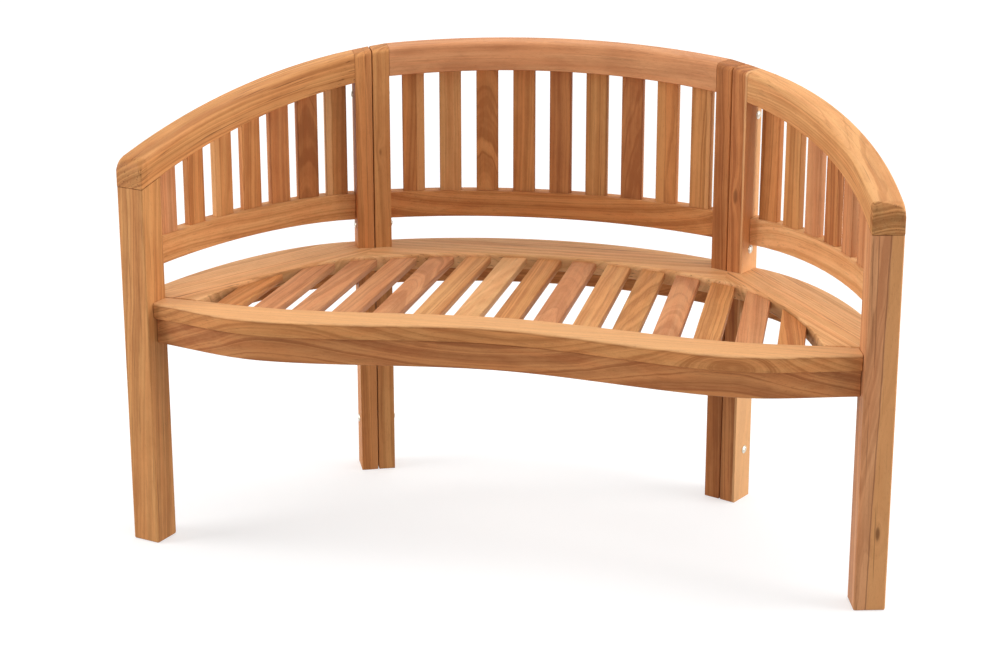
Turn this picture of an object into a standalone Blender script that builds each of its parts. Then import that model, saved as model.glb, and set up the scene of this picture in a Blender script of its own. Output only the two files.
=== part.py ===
"""Curved three-panel garden bench in teak, modelled as the separate pieces it is joined from.

The back follows one line in plan, mirrored about the middle. It starts as an arc across the
centre panel, runs straight past the two rear posts that stand side by side, bends forward along
the side panel and ends straight over the square front leg. Rails, posts, slats, bolts and the
rear seat board all take their places from a distance along that line and an offset from it.

Units are metres, +Z is up, the front of the seat faces -Y, and the origin is on the ground under
the middle of the bench.
"""

import math
from dataclasses import dataclass

import bmesh
import bpy
from mathutils import Matrix, Vector

# Overall sizes
OVERALL_DEPTH = 0.590
SEAT_HEIGHT = 0.440
ARM_HEIGHT = 0.690
CENTRE_POST_HEIGHT = 0.814
BACK_CROWN = 0.010
ARM_BOW = 0.003

# Fits between pieces
CLEARANCE = 0.0003
POST_GAP = 0.0015
CUT_OVERRUN = 0.005

# Plan of the frame
CENTRE_OPENING = 0.616
POST_TURN = math.radians(23.5)
LEG_TURN = math.radians(15.5)
LEG_MIDDLE_X = 0.632
LEG_SETBACK = 0.044
BEND_SHARE = 0.62

# Posts, legs and rails. The drops are how far the back has fallen where the two posts of a pair
# meet, and where the rail of the side panel starts.
FRAME_DEPTH = 0.053
POST_WIDTH = 0.0305
SEAM_DROP = 0.0045
SIDE_POST_DROP = 0.010
TOP_RAIL_HEIGHT = 0.0525
ARM_THICKNESS = 0.048
TOP_ROUND = 0.009
ARM_END_ROUND = 0.017
LOWER_RAIL_SEAT_GAP = 0.049
LOWER_RAIL_HEIGHT = 0.0485
LOWER_RAIL_THICKNESS = 0.028
LOWER_RAIL_SETBACK = 0.024
SEAT_RAIL_HEIGHT = 0.046
SEAT_RAIL_THICKNESS = 0.025

# Radius of the square edges: of most, of flush joints, beside the posts' seam and on the legs
EDGE_EASE = 0.0015
JOINT_EASE = 0.0006
SEAM_EASE = 0.002
LEG_ROUND = 0.003
EASE_ANGLE = math.radians(60)

# Tenons of the rails and the legs
TENON_LENGTH = 0.015
TENON_THICKNESS = 0.010
TENON_ROOT = 0.005
TENON_HEIGHT_SHARE = 0.6
LEG_TENON_SIDE = 0.022
LEG_TENON_ROOT = 0.020

# Back slats
BACK_SLAT_WIDTH = 0.040
BACK_SLAT_THICKNESS = 0.014
BACK_SLAT_HOUSING = 0.012
CENTRE_SLAT_COUNT = 9
SIDE_SLAT_COUNT = 7
SIDE_SLAT_POST_GAP = 0.0125
SIDE_SLAT_LEG_GAP = 0.040
SIDE_SLAT_CROWDING_SHARE = 0.167

# Seat boards
BOARD_THICKNESS = 0.028
BOARD_ROUND = 0.004
BULGE_X = 0.395
WAIST_DEPTH = 0.048
FRONT_END_DEPTH = 0.052
FRONT_END_SLOPE = 0.25
FRONT_BOARD_MIDDLE_WIDTH = 0.063
FRONT_BOARD_BULGE_WIDTH = 0.073
REAR_BOARD_INNER_REACH = 0.082

# Front apron
APRON_THICKNESS = 0.025
APRON_BULGE_SETBACK = 0.009
APRON_MIDDLE_SETBACK = 0.003

# Seat slats. The fan is how far a slat leans to the middle, per metre back and metre off it.
SEAT_SLAT_COUNT = 15
SEAT_SLAT_GAP = 0.025
SEAT_SLAT_END_GAP = 0.030
SEAT_SLAT_THICKNESS = 0.014
SEAT_SLAT_DROP = 0.006
SEAT_SLAT_FAN = 0.14
TONGUE_LENGTH = 0.012
TONGUE_THICKNESS = 0.007
TONGUE_SHOULDER = 0.006

# Bolts that hold each pair of posts together. A setback is the distance behind the posts' middle.
UPPER_BOLT_DROP = 0.082
UPPER_BOLT_SETBACK = 0.015
LOWER_BOLT_HEIGHT = 0.096
LOWER_BOLT_SETBACK = 0.004
BOLT_RADIUS = 0.004
BOLT_HEAD_RADIUS = 0.007
BOLT_HEAD_HEIGHT = 0.003
BOLT_NUT_RADIUS = 0.0065
BOLT_NUT_HEIGHT = 0.006
BOLT_DOME_SHARE = 0.6

# How finely the curves are divided
BEND_SAMPLES = 160
TOP_RAIL_STATIONS = 18
LOWER_RAIL_STATIONS = 14
FRONT_BOARD_STATIONS = 48
REAR_BOARD_STATIONS = 72
SLAT_COLUMNS = 4
RAIL_ROUND_STEPS = 3
BOARD_ROUND_STEPS = 2
LEG_ROUND_STEPS = 2
END_ROUND_STEPS = 4
BOLT_SIDES = 12
FACE_SEARCH_STEPS = 40

# Finish
TEAK_COLOUR = (0.50, 0.27, 0.12)
TEAK_ROUGHNESS = 0.55
STEEL_COLOUR = (0.60, 0.58, 0.53)
STEEL_ROUGHNESS = 0.35
TONE_STEP = 0.618
TONE_RANGE = 0.16
TONE_MIDDLE = 0.5
SMOOTH_ANGLE = math.radians(35)

SEAM_HEIGHT = CENTRE_POST_HEIGHT - SEAM_DROP
SIDE_POST_HEIGHT = CENTRE_POST_HEIGHT - SIDE_POST_DROP
BACK_LINE_Y = OVERALL_DEPTH / 2 - FRAME_DEPTH / 2
BULGE_Y = -OVERALL_DEPTH / 2
SEAT_SLAT_FRONT_Y = BULGE_Y + FRONT_BOARD_BULGE_WIDTH
BOARD_BOTTOM = SEAT_HEIGHT - BOARD_THICKNESS
SEAT_RAIL_TOP = BOARD_BOTTOM - CLEARANCE
SEAT_RAIL_BOTTOM = SEAT_RAIL_TOP - SEAT_RAIL_HEIGHT
LOWER_RAIL_BOTTOM = SEAT_HEIGHT + LOWER_RAIL_SEAT_GAP
LOWER_RAIL_TOP = LOWER_RAIL_BOTTOM + LOWER_RAIL_HEIGHT
LOWER_RAIL_OFFSET = LOWER_RAIL_SETBACK + LOWER_RAIL_THICKNESS / 2 - FRAME_DEPTH / 2
SIDES = {"left": -1, "right": 1}

# Height and setback of each bolt
BOLT_PLACES = {
    "upper": (SIDE_POST_HEIGHT - UPPER_BOLT_DROP, UPPER_BOLT_SETBACK),
    "lower": (LOWER_BOLT_HEIGHT, LOWER_BOLT_SETBACK),
}


def cross(a, b):
    """Signed area of two plan vectors."""
    return a.x * b.y - a.y * b.x


def blend(start, start_slope, end, end_slope, share, span):
    """Cubic from start to end over span, with the given slopes at its two ends."""
    smooth = share * share * (3 - 2 * share)
    leave = share * (1 - share) ** 2
    arrive = share * share * (share - 1)
    return start + (end - start) * smooth + span * (start_slope * leave + end_slope * arrive)


@dataclass(frozen=True)
class Station:
    """A place on the back line: its plan point and the plan normal that points out of the bench."""

    point: Vector
    normal: Vector

    @property
    def along(self):
        """Plan direction of travel along the line."""
        return Vector((self.normal.y, -self.normal.x))

    def off(self, offset):
        """Plan point at an offset from the line, positive outwards."""
        return self.point + self.normal * offset


class BackLine:
    """The plan curve of the back. Distances run from its middle, positive to the right."""

    def __init__(self):
        turn_normal = Vector((math.sin(POST_TURN), math.cos(POST_TURN)))
        turn_along = Vector((math.cos(POST_TURN), -math.sin(POST_TURN)))
        forward = Vector((math.sin(LEG_TURN), -math.cos(LEG_TURN)))
        self.radius = CENTRE_OPENING / 2 / math.sin(POST_TURN)
        self.post_face = self.radius * POST_TURN
        self.post_station = Station(
            Vector((CENTRE_OPENING / 2, BACK_LINE_Y - self.radius * (1 - math.cos(POST_TURN)))),
            turn_normal,
        )
        self.pair_length = 2 * POST_WIDTH + POST_GAP
        self.side_start = self.post_face + self.pair_length
        start = self.post_station.point + turn_along * self.pair_length
        self.leg_front = Vector((LEG_MIDDLE_X, BULGE_Y + LEG_SETBACK))
        end = self.leg_front - forward * FRAME_DEPTH
        start_reach = cross(end - start, forward) / cross(turn_along, forward)
        end_reach = cross(end - start, turn_along) / cross(forward, turn_along)
        handles = (
            start,
            start + turn_along * start_reach * BEND_SHARE,
            end - forward * end_reach * BEND_SHARE,
            end,
        )
        self.samples = [self.bend(handles, i / BEND_SAMPLES) for i in range(BEND_SAMPLES + 1)]
        self.lengths = [0.0]
        for a, b in zip(self.samples, self.samples[1:]):
            self.lengths.append(self.lengths[-1] + (b.point - a.point).length)
        self.leg_back = self.side_start + self.lengths[-1]
        self.front = self.leg_back + FRAME_DEPTH

    @staticmethod
    def bend(handles, share):
        """Station on the cubic curve of the side panel."""
        a, b, c, d = handles
        rest = 1 - share
        point = a * rest**3 + b * 3 * rest**2 * share + c * 3 * rest * share**2 + d * share**3
        travel = (b - a) * rest**2 + (c - b) * 2 * rest * share + (d - c) * share**2
        travel.normalize()
        return Station(point, Vector((-travel.y, travel.x)))

    def half(self, distance):
        """Station on the right half of the line."""
        if distance <= self.post_face:
            angle = distance / self.radius
            drop = self.radius * (1 - math.cos(angle))
            point = Vector((self.radius * math.sin(angle), BACK_LINE_Y - drop))
            return Station(point, Vector((math.sin(angle), math.cos(angle))))
        if distance <= self.side_start:
            post = self.post_station
            return Station(post.point + post.along * (distance - self.post_face), post.normal)
        run = distance - self.side_start
        if run >= self.lengths[-1]:
            last = self.samples[-1]
            return Station(last.point + last.along * (run - self.lengths[-1]), last.normal)
        index = max(i for i, length in enumerate(self.lengths) if length <= run)
        step = self.lengths[index + 1] - self.lengths[index]
        share = (run - self.lengths[index]) / step
        before, after = self.samples[index], self.samples[index + 1]
        normal = before.normal.lerp(after.normal, share).normalized()
        return Station(before.point.lerp(after.point, share), normal)

    def at(self, distance):
        """Station at a distance, mirrored to the left half where it is negative."""
        station = self.half(abs(distance))
        if distance >= 0:
            return station
        mirror = Vector((-1, 1))
        return Station(station.point * mirror, station.normal * mirror)


LINE = BackLine()


def spread(start, end, count):
    """Evenly spaced values from start to end, with count steps between them."""
    return [start + (end - start) * i / count for i in range(count + 1)]


@dataclass(frozen=True)
class Block:
    """An upright box: its middle, the plan direction of its length, and its three sizes."""

    middle: Vector
    along: Vector
    length: float
    width: float
    height: float

    def grown(self, margin):
        """The same box with a margin on every side."""
        return Block(
            self.middle,
            self.along,
            self.length + 2 * margin,
            self.width + 2 * margin,
            self.height + 2 * margin,
        )

    def matrix(self):
        """Placement of a unit cube as this box."""
        turn = Matrix.Rotation(math.atan2(self.along.y, self.along.x), 4, "Z")
        size = Matrix.Diagonal((self.length, self.width, self.height, 1))
        return Matrix.Translation(self.middle) @ turn @ size


def new_object(name, shape, is_helper=False):
    """Object made from a bmesh. A helper only shapes other pieces and isn't one itself."""
    bmesh.ops.recalc_face_normals(shape, faces=shape.faces)
    mesh = bpy.data.meshes.new(name)
    shape.to_mesh(mesh)
    shape.free()
    item = bpy.data.objects.new(name, mesh)
    bpy.context.scene.collection.objects.link(item)
    if is_helper:
        item.hide_render = True
        item.display_type = "WIRE"
    return item


def fill_shell(shape, rings):
    """Adds the closed shell through a row of rings with equal numbers of points."""
    loops = [[shape.verts.new(point) for point in ring] for ring in rings]
    for before, after in zip(loops, loops[1:]):
        for i, corner in enumerate(before):
            following = (i + 1) % len(before)
            shape.faces.new((corner, before[following], after[following], after[i]))
    shape.faces.new(loops[0])
    shape.faces.new(loops[-1])


def cross_section(front, back, bottom, top, radius, steps):
    """Ring around a strip between two plan points, with its top edges rounded."""
    across = (back - front).normalized()
    corners = [(0, 0)]
    if radius:
        angles = [math.pi / 2 * i / steps for i in range(steps + 1)]
        corners = [(radius * (1 - math.cos(a)), radius * (1 - math.sin(a))) for a in angles]
    ring = [(front, bottom)]
    ring += [(front + across * inset, top - drop) for inset, drop in corners]
    ring += [(back - across * inset, top - drop) for inset, drop in reversed(corners)]
    ring.append((back, bottom))
    return [Vector((plan.x, plan.y, height)) for plan, height in ring]


def strip_rings(fronts, backs, bottoms, tops, radius=0.0, steps=1):
    """Rings of a strip that lies between two rows of plan points."""
    rows = zip(fronts, backs, bottoms, tops)
    return [cross_section(*row, radius, steps) for row in rows]


def strip(name, fronts, backs, bottoms, tops, radius=0.0, steps=1):
    """One object that fills the space between two rows of plan points."""
    shape = bmesh.new()
    fill_shell(shape, strip_rings(fronts, backs, bottoms, tops, radius, steps))
    return new_object(name, shape)


def blocks_helper(name, blocks):
    """Helper that holds several boxes."""
    shape = bmesh.new()
    for block in blocks:
        bmesh.ops.create_cube(shape, size=1, matrix=block.matrix())
    return new_object(name, shape, is_helper=True)


def even_ease(ends):
    """Radius of an edge on a piece whose edges are all alike."""
    return EDGE_EASE


def leg_ease(ends):
    """Radius of a leg's edge. Those on top, at the joint with the arm, stay tight."""
    return LEG_ROUND if min(corner.z for corner in ends) == 0 else JOINT_EASE


def end_ease(joints, seams=()):
    """Gives the radius of an edge, tight at the stations of joints and wider at those of seams."""

    def radius(ends):
        for stations, size in ((joints, JOINT_EASE), (seams, SEAM_EASE)):
            for station in stations:
                reaches = [abs((corner.xy - station.point).dot(station.along)) for corner in ends]
                if max(reaches) < 2 * CLEARANCE:
                    return size
        return EDGE_EASE

    return radius


def ease_edges(item, radius_of=even_ease, steps=1):
    """Rounds the square edges. radius_of gives an edge's radius from the places of its two ends."""
    shape = bmesh.new()
    shape.from_mesh(item.data)
    weights = shape.edges.layers.float.new("bevel_weight_edge")
    for edge in shape.edges:
        if edge.calc_face_angle() > EASE_ANGLE:
            edge[weights] = radius_of([corner.co for corner in edge.verts]) / LEG_ROUND
    shape.to_mesh(item.data)
    shape.free()
    bevel = item.modifiers.new("eased_edges", "BEVEL")
    bevel.width = LEG_ROUND
    bevel.segments = steps
    bevel.limit_method = "WEIGHT"


def combine(item, helper, operation):
    """Adds a helper's volume to an object, or takes it away."""
    boolean = item.modifiers.new(helper.name, "BOOLEAN")
    boolean.operation = operation
    boolean.object = helper


def finish_piece(item, tenons=(), mortises=(), radius_of=even_ease, steps=1):
    """Eases a piece, then adds its tenons and cuts its mortises."""
    ease_edges(item, radius_of, steps)
    if tenons:
        combine(item, blocks_helper(item.name + ".tenons", tenons), "UNION")
    if mortises:
        fitted = [block.grown(CLEARANCE) for block in mortises]
        combine(item, blocks_helper(item.name + ".mortises", fitted), "DIFFERENCE")
    return item


def centre_top(distance):
    """Height of the centre rail's top, which rises a little towards the middle."""
    return CENTRE_POST_HEIGHT + BACK_CROWN * (1 - (distance / LINE.post_face) ** 2)


def centre_bottom(distance):
    """Height of the centre rail's underside."""
    return centre_top(distance) - TOP_RAIL_HEIGHT


def side_share(distance):
    """Share of a side rail's length that lies between its post and a distance."""
    return (abs(distance) - LINE.side_start) / (LINE.front - LINE.side_start)


def side_top(distance):
    """Height of a side rail's top, falling from the post to the arm with a slight bow."""
    share = side_share(distance)
    fall = (SIDE_POST_HEIGHT - ARM_HEIGHT) * share
    return SIDE_POST_HEIGHT - fall + ARM_BOW * 4 * share * (1 - share)


def side_bottom(distance):
    """Height of a side rail's underside. The rail gets a little thinner towards the arm."""
    taper = (TOP_RAIL_HEIGHT - ARM_THICKNESS) * side_share(distance)
    return side_top(distance) - TOP_RAIL_HEIGHT + taper


def arm_end_drop(distance):
    """How far the rounded front end of an arm lies below its top."""
    run = abs(distance) - (LINE.front - ARM_END_ROUND)
    if run <= 0:
        return 0.0
    return ARM_END_ROUND - math.sqrt(max(ARM_END_ROUND**2 - run**2, 0.0))


def rounded_side_top(distance):
    """Height of a side rail's top, with the arm's front end rounded over."""
    return side_top(distance) - arm_end_drop(distance)


def rail(name, distances, offset, thickness, bottom, top, radius=0.0, steps=1):
    """Rail that follows the back line. bottom and top give its heights at a distance."""
    stations = [LINE.at(d) for d in distances]
    return strip(
        name,
        [s.off(offset - thickness / 2) for s in stations],
        [s.off(offset + thickness / 2) for s in stations],
        [bottom(d) for d in distances],
        [top(d) for d in distances],
        radius,
        steps,
    )


def rail_tenon(face, direction, offset, middle_height, rail_height):
    """Tenon at the end of a rail, from inside the rail past the face into its neighbour."""
    station = LINE.at(face)
    reach = direction * (TENON_LENGTH - TENON_ROOT) / 2
    plan = station.off(offset) + station.along * reach
    return Block(
        Vector((plan.x, plan.y, middle_height)),
        station.along,
        TENON_LENGTH + TENON_ROOT,
        TENON_THICKNESS,
        rail_height * TENON_HEIGHT_SHARE,
    )


def panel_tenons(side):
    """Tenons of a panel's three rails at its two ends. side is 0 for the centre panel."""
    if side == 0:
        faces = [(LINE.post_face, 1), (-LINE.post_face, -1)]
        tops = [centre_top(LINE.post_face)] * 2
    else:
        faces = [(side * LINE.side_start, -side), (side * LINE.leg_back, side)]
        tops = [side_top(LINE.side_start), None]
    lower_middle = LOWER_RAIL_BOTTOM + LOWER_RAIL_HEIGHT / 2
    seat_middle = SEAT_RAIL_BOTTOM + SEAT_RAIL_HEIGHT / 2
    tenons = {"top": [], "lower": [], "seat": []}
    for (face, direction), top in zip(faces, tops):
        if top is not None:
            middle = top - TOP_RAIL_HEIGHT / 2
            tenons["top"].append(rail_tenon(face, direction, 0.0, middle, TOP_RAIL_HEIGHT))
        tenons["lower"].append(
            rail_tenon(face, direction, LOWER_RAIL_OFFSET, lower_middle, LOWER_RAIL_HEIGHT)
        )
        tenons["seat"].append(rail_tenon(face, direction, 0.0, seat_middle, SEAT_RAIL_HEIGHT))
    return tenons


def leg_tenon(side):
    """Tenon on top of a front leg, which enters the rail above it."""
    station = LINE.at(side * (LINE.leg_back + LINE.front) / 2)
    top = side_bottom((LINE.leg_back + LINE.front) / 2)
    low = top - LEG_TENON_ROOT
    high = top + TENON_LENGTH
    middle = Vector((station.point.x, station.point.y, (low + high) / 2))
    return Block(middle, station.along, LEG_TENON_SIDE, LEG_TENON_SIDE, high - low)


def slat_places(side):
    """Distances of a panel's slats along the back line, a little closer together at a post."""
    if side == 0:
        span = 2 * LINE.post_face
        gap = (span - CENTRE_SLAT_COUNT * BACK_SLAT_WIDTH) / (CENTRE_SLAT_COUNT + 1)
        first = gap + BACK_SLAT_WIDTH / 2 - LINE.post_face
        return [first + i * (BACK_SLAT_WIDTH + gap) for i in range(CENTRE_SLAT_COUNT)]
    first = LINE.side_start + SIDE_SLAT_POST_GAP + BACK_SLAT_WIDTH / 2
    last = LINE.leg_back - SIDE_SLAT_LEG_GAP - BACK_SLAT_WIDTH / 2
    places = []
    for share in spread(0, 1, SIDE_SLAT_COUNT - 1):
        crowded = share - SIDE_SLAT_CROWDING_SHARE * share * (1 - share)
        places.append(side * (first + (last - first) * crowded))
    return places


def back_slat_block(distance, side):
    """Box of one back slat, housed at both ends."""
    station = LINE.at(distance)
    rail_bottom = centre_bottom(distance) if side == 0 else side_bottom(distance)
    low = LOWER_RAIL_TOP - BACK_SLAT_HOUSING
    high = rail_bottom + BACK_SLAT_HOUSING
    plan = station.off(LOWER_RAIL_OFFSET)
    middle = Vector((plan.x, plan.y, (low + high) / 2))
    return Block(middle, station.along, BACK_SLAT_WIDTH, BACK_SLAT_THICKNESS, high - low)


def make_panel(suffix, side):
    """The three rails and the slats of one back panel."""
    tenons = panel_tenons(side)
    slats = [back_slat_block(d, side) for d in slat_places(side)]
    if side == 0:
        start, end = -LINE.post_face + CLEARANCE, LINE.post_face - CLEARANCE
        top_distances = spread(start, end, TOP_RAIL_STATIONS)
        label, rail_bottom, rail_top, top_mortises = "centre", centre_bottom, centre_top, slats
    else:
        start, end = side * (LINE.side_start + CLEARANCE), side * (LINE.leg_back - CLEARANCE)
        round_start = side * (LINE.front - ARM_END_ROUND)
        top_distances = spread(start, round_start, TOP_RAIL_STATIONS)
        for i in range(1, END_ROUND_STEPS + 1):
            run = ARM_END_ROUND * math.sin(math.pi / 2 * i / END_ROUND_STEPS)
            top_distances.append(round_start + side * run)
        label, rail_bottom, rail_top = "side", side_bottom, rounded_side_top
        top_mortises = [*slats, leg_tenon(side)]
    low_distances = spread(start, end, LOWER_RAIL_STATIONS)
    top_rail = rail(
        label + "_top_rail" + suffix,
        top_distances,
        0.0,
        FRAME_DEPTH,
        rail_bottom,
        rail_top,
        TOP_ROUND,
        RAIL_ROUND_STEPS,
    )
    lower_rail = rail(
        label + "_lower_rail" + suffix,
        low_distances,
        LOWER_RAIL_OFFSET,
        LOWER_RAIL_THICKNESS,
        lambda d: LOWER_RAIL_BOTTOM,
        lambda d: LOWER_RAIL_TOP,
    )
    seat_rail = rail(
        label + "_seat_rail" + suffix,
        low_distances,
        0.0,
        SEAT_RAIL_THICKNESS,
        lambda d: SEAT_RAIL_BOTTOM,
        lambda d: SEAT_RAIL_TOP,
    )
    joints = [LINE.at(start), LINE.at(end)] if side == 0 else [LINE.at(start)]
    pieces = [
        finish_piece(top_rail, tenons["top"], top_mortises, end_ease(joints)),
        finish_piece(lower_rail, tenons["lower"], slats),
        finish_piece(seat_rail, tenons["seat"]),
    ]
    for number, block in enumerate(slats, 1):
        shape = bmesh.new()
        bmesh.ops.create_cube(shape, size=1, matrix=block.matrix())
        slat = new_object(f"{label}_back_slat{suffix}_{number}", shape)
        pieces.append(finish_piece(slat))
    return pieces


def make_post(name, joint, seam, heights, tenons, holes):
    """Rear post between the distances of its rails' joint and of the seam beside its neighbour."""
    stations = [LINE.at(joint), LINE.at(seam)]
    post = strip(
        name,
        [s.off(-FRAME_DEPTH / 2) for s in stations],
        [s.off(FRAME_DEPTH / 2) for s in stations],
        [0.0, 0.0],
        heights,
        TOP_ROUND,
        RAIL_ROUND_STEPS,
    )
    radius_of = end_ease(stations[:1], stations[1:])
    finish_piece(post, mortises=tenons, radius_of=radius_of, steps=LEG_ROUND_STEPS)
    combine(post, holes, "DIFFERENCE")
    return post


def bolt_matrix(side, place):
    """Placement of a bolt: its local X runs from the nut's face to the head's face."""
    height, setback = BOLT_PLACES[place]
    station = LINE.at(side * LINE.post_face)
    plan = station.off(setback)
    direction = station.along * side
    turn = Matrix.Rotation(math.atan2(direction.y, direction.x), 4, "Z")
    return Matrix.Translation(Vector((plan.x, plan.y, height))) @ turn


def turned_rings(profile):
    """Rings of a turned shape about the local X axis, from (position, radius) pairs."""
    rings = []
    for position, radius in profile:
        angles = [2 * math.pi * i / BOLT_SIDES for i in range(BOLT_SIDES)]
        rings.append([Vector((position, radius * math.cos(a), radius * math.sin(a))) for a in angles])
    return rings


def make_bolt_holes(name, side):
    """Helper with the holes that pass through both posts of a pair."""
    shape = bmesh.new()
    radius = BOLT_RADIUS + CLEARANCE
    profile = [(-CUT_OVERRUN, radius), (LINE.pair_length + CUT_OVERRUN, radius)]
    for place in BOLT_PLACES:
        matrix = bolt_matrix(side, place)
        fill_shell(shape, [[matrix @ v for v in ring] for ring in turned_rings(profile)])
    return new_object(name, shape, is_helper=True)


def make_bolt(name, side, place):
    """Coach bolt with a domed head on the side post and a cap nut on the centre post."""
    seat = LINE.pair_length + CLEARANCE
    nut_edge = -CLEARANCE - BOLT_NUT_HEIGHT * BOLT_DOME_SHARE
    profile = [
        (-CLEARANCE - BOLT_NUT_HEIGHT, BOLT_NUT_RADIUS * BOLT_DOME_SHARE),
        (nut_edge, BOLT_NUT_RADIUS),
        (-CLEARANCE, BOLT_NUT_RADIUS),
        (-CLEARANCE, BOLT_RADIUS),
        (seat, BOLT_RADIUS),
        (seat, BOLT_HEAD_RADIUS),
        (seat + BOLT_HEAD_HEIGHT * (1 - BOLT_DOME_SHARE), BOLT_HEAD_RADIUS),
        (seat + BOLT_HEAD_HEIGHT, BOLT_HEAD_RADIUS * BOLT_DOME_SHARE),
    ]
    shape = bmesh.new()
    fill_shell(shape, turned_rings(profile))
    bolt = new_object(name, shape)
    bolt.matrix_world = bolt_matrix(side, place)
    return bolt


def make_posts(suffix, side):
    """The two posts of one joint and the bolts between them."""
    holes = make_bolt_holes("bolt_holes" + suffix, side)
    seam = LINE.post_face + POST_WIDTH
    centre = panel_tenons(0)
    centre_ends = [row[0 if side > 0 else 1] for row in centre.values()]
    side_ends = [row[0] for row in panel_tenons(side).values()]
    centre_post = make_post(
        "centre_post" + suffix,
        side * LINE.post_face,
        side * seam,
        [CENTRE_POST_HEIGHT, SEAM_HEIGHT],
        centre_ends,
        holes,
    )
    side_post = make_post(
        "side_post" + suffix,
        side * LINE.side_start,
        side * (seam + POST_GAP),
        [SIDE_POST_HEIGHT, SEAM_HEIGHT],
        side_ends,
        holes,
    )
    bolts = [make_bolt(f"post_bolt_{place}{suffix}", side, place) for place in BOLT_PLACES]
    return [centre_post, side_post], bolts


def make_leg(suffix, side):
    """Square front leg. Its top follows the slope of the rail that it carries."""
    distances = [side * LINE.leg_back, side * LINE.front]
    stations = [LINE.at(d) for d in distances]
    leg = strip(
        "front_leg" + suffix,
        [s.off(-FRAME_DEPTH / 2) for s in stations],
        [s.off(FRAME_DEPTH / 2) for s in stations],
        [0.0, 0.0],
        [side_bottom(d) - CLEARANCE for d in distances],
    )
    tenons = panel_tenons(side)
    mortises = [tenons["lower"][1], tenons["seat"][1], apron_tenon(side)]
    return finish_piece(leg, [leg_tenon(side)], mortises, leg_ease, LEG_ROUND_STEPS)


def leg_corner(distance):
    """Inner corner of the right leg at a distance along the back line."""
    return LINE.at(distance).off(-FRAME_DEPTH / 2)


def seat_front_y(x):
    """Front edge of the seat: back in the middle, forward in two bulges, back at the legs."""
    reach = abs(x)
    if reach <= BULGE_X:
        return blend(BULGE_Y + WAIST_DEPTH, 0, BULGE_Y, 0, reach / BULGE_X, BULGE_X)
    span = leg_corner(LINE.front).x - BULGE_X
    share = (reach - BULGE_X) / span
    return blend(BULGE_Y, 0, BULGE_Y + FRONT_END_DEPTH, FRONT_END_SLOPE, share, span)


def front_board_back_y(x):
    """Rear edge of the front board, which ends at the back corner of the leg."""
    reach = abs(x)
    bulge = BULGE_Y + FRONT_BOARD_BULGE_WIDTH
    if reach <= BULGE_X:
        middle = BULGE_Y + WAIST_DEPTH + FRONT_BOARD_MIDDLE_WIDTH
        return blend(middle, 0, bulge, 0, reach / BULGE_X, BULGE_X)
    corner = leg_corner(LINE.leg_back)
    span = corner.x - BULGE_X
    return blend(bulge, 0, corner.y, 0, min((reach - BULGE_X) / span, 1), span)


def apron_front_y(x):
    """Front face of the apron, set back under the front board."""
    share = min(abs(x) / BULGE_X, 1)
    setback = blend(APRON_MIDDLE_SETBACK, 0, APRON_BULGE_SETBACK, 0, share, BULGE_X)
    return seat_front_y(x) + setback


def apron_back_y(x):
    """Back face of the apron."""
    return apron_front_y(x) + APRON_THICKNESS


def leg_face_x(edge):
    """Where a seat edge meets the right leg's inner face, less the clearance."""
    corner = leg_corner(LINE.front)
    x = corner.x
    for _ in range(FACE_SEARCH_STEPS):
        y = edge(x)
        x = corner.x - (y - corner.y) * math.tan(LEG_TURN) - CLEARANCE / math.cos(LEG_TURN)
    return x


def edge_row(edge, count):
    """Plan points along a seat edge, from one leg to the other."""
    end = leg_face_x(edge)
    return [Vector((x, edge(x))) for x in spread(-end, end, count)]


def apron_tenon(side):
    """Tenon of the apron in the inner face of a leg."""
    face_x = leg_face_x(apron_front_y)
    y = (apron_front_y(face_x) + apron_back_y(face_x)) / 2
    corner = leg_corner(LINE.front)
    inward = Vector((math.cos(LEG_TURN), math.sin(LEG_TURN)))
    plan = Vector((corner.x - (y - corner.y) * math.tan(LEG_TURN), y))
    plan += inward * (TENON_LENGTH - TENON_ROOT) / 2
    middle = Vector((side * plan.x, plan.y, SEAT_RAIL_BOTTOM + SEAT_RAIL_HEIGHT / 2))
    along = Vector((side * inward.x, inward.y))
    height = SEAT_RAIL_HEIGHT * TENON_HEIGHT_SHARE
    return Block(middle, along, TENON_LENGTH + TENON_ROOT, TENON_THICKNESS, height)


def rear_stations():
    """Stations of the rear board, from the back face of one leg to the other."""
    end = LINE.leg_back - CLEARANCE
    return [LINE.at(d) for d in spread(-end, end, REAR_BOARD_STATIONS)]


def height_on_row(row, x):
    """Y of a row of plan points at x."""
    for a, b in zip(row, row[1:]):
        if a.x <= x <= b.x and b.x > a.x:
            return a.y + (b.y - a.y) * (x - a.x) / (b.x - a.x)
    return row[0].y if x < row[0].x else row[-1].y


def rear_row(reach):
    """Plan points of the line that lies at a reach inside the back line."""
    return [s.off(-reach) for s in rear_stations()]


def leaned(row, slope):
    """Plan points moved sideways by how far they lie behind the slats' front ends."""
    return [Vector((p.x + slope * (p.y - SEAT_SLAT_FRONT_Y), p.y)) for p in row]


def slat_rings(span, margin, front_row, front_shift, reach, low, high):
    """Rings of a seat slat, or of its tongue, from the front board to a reach of the back line."""
    left, right = span
    slope = -SEAT_SLAT_FAN * (left + right) / 2
    xs = spread(left + margin, right - margin, SLAT_COLUMNS)
    straight_front, straight_back = leaned(front_row, -slope), leaned(rear_row(reach), -slope)
    fronts = [Vector((x, height_on_row(straight_front, x) + front_shift)) for x in xs]
    backs = [Vector((x, height_on_row(straight_back, x))) for x in xs]
    rows = leaned(fronts, slope), leaned(backs, slope)
    return strip_rings(*rows, [low] * len(xs), [high] * len(xs))


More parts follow.
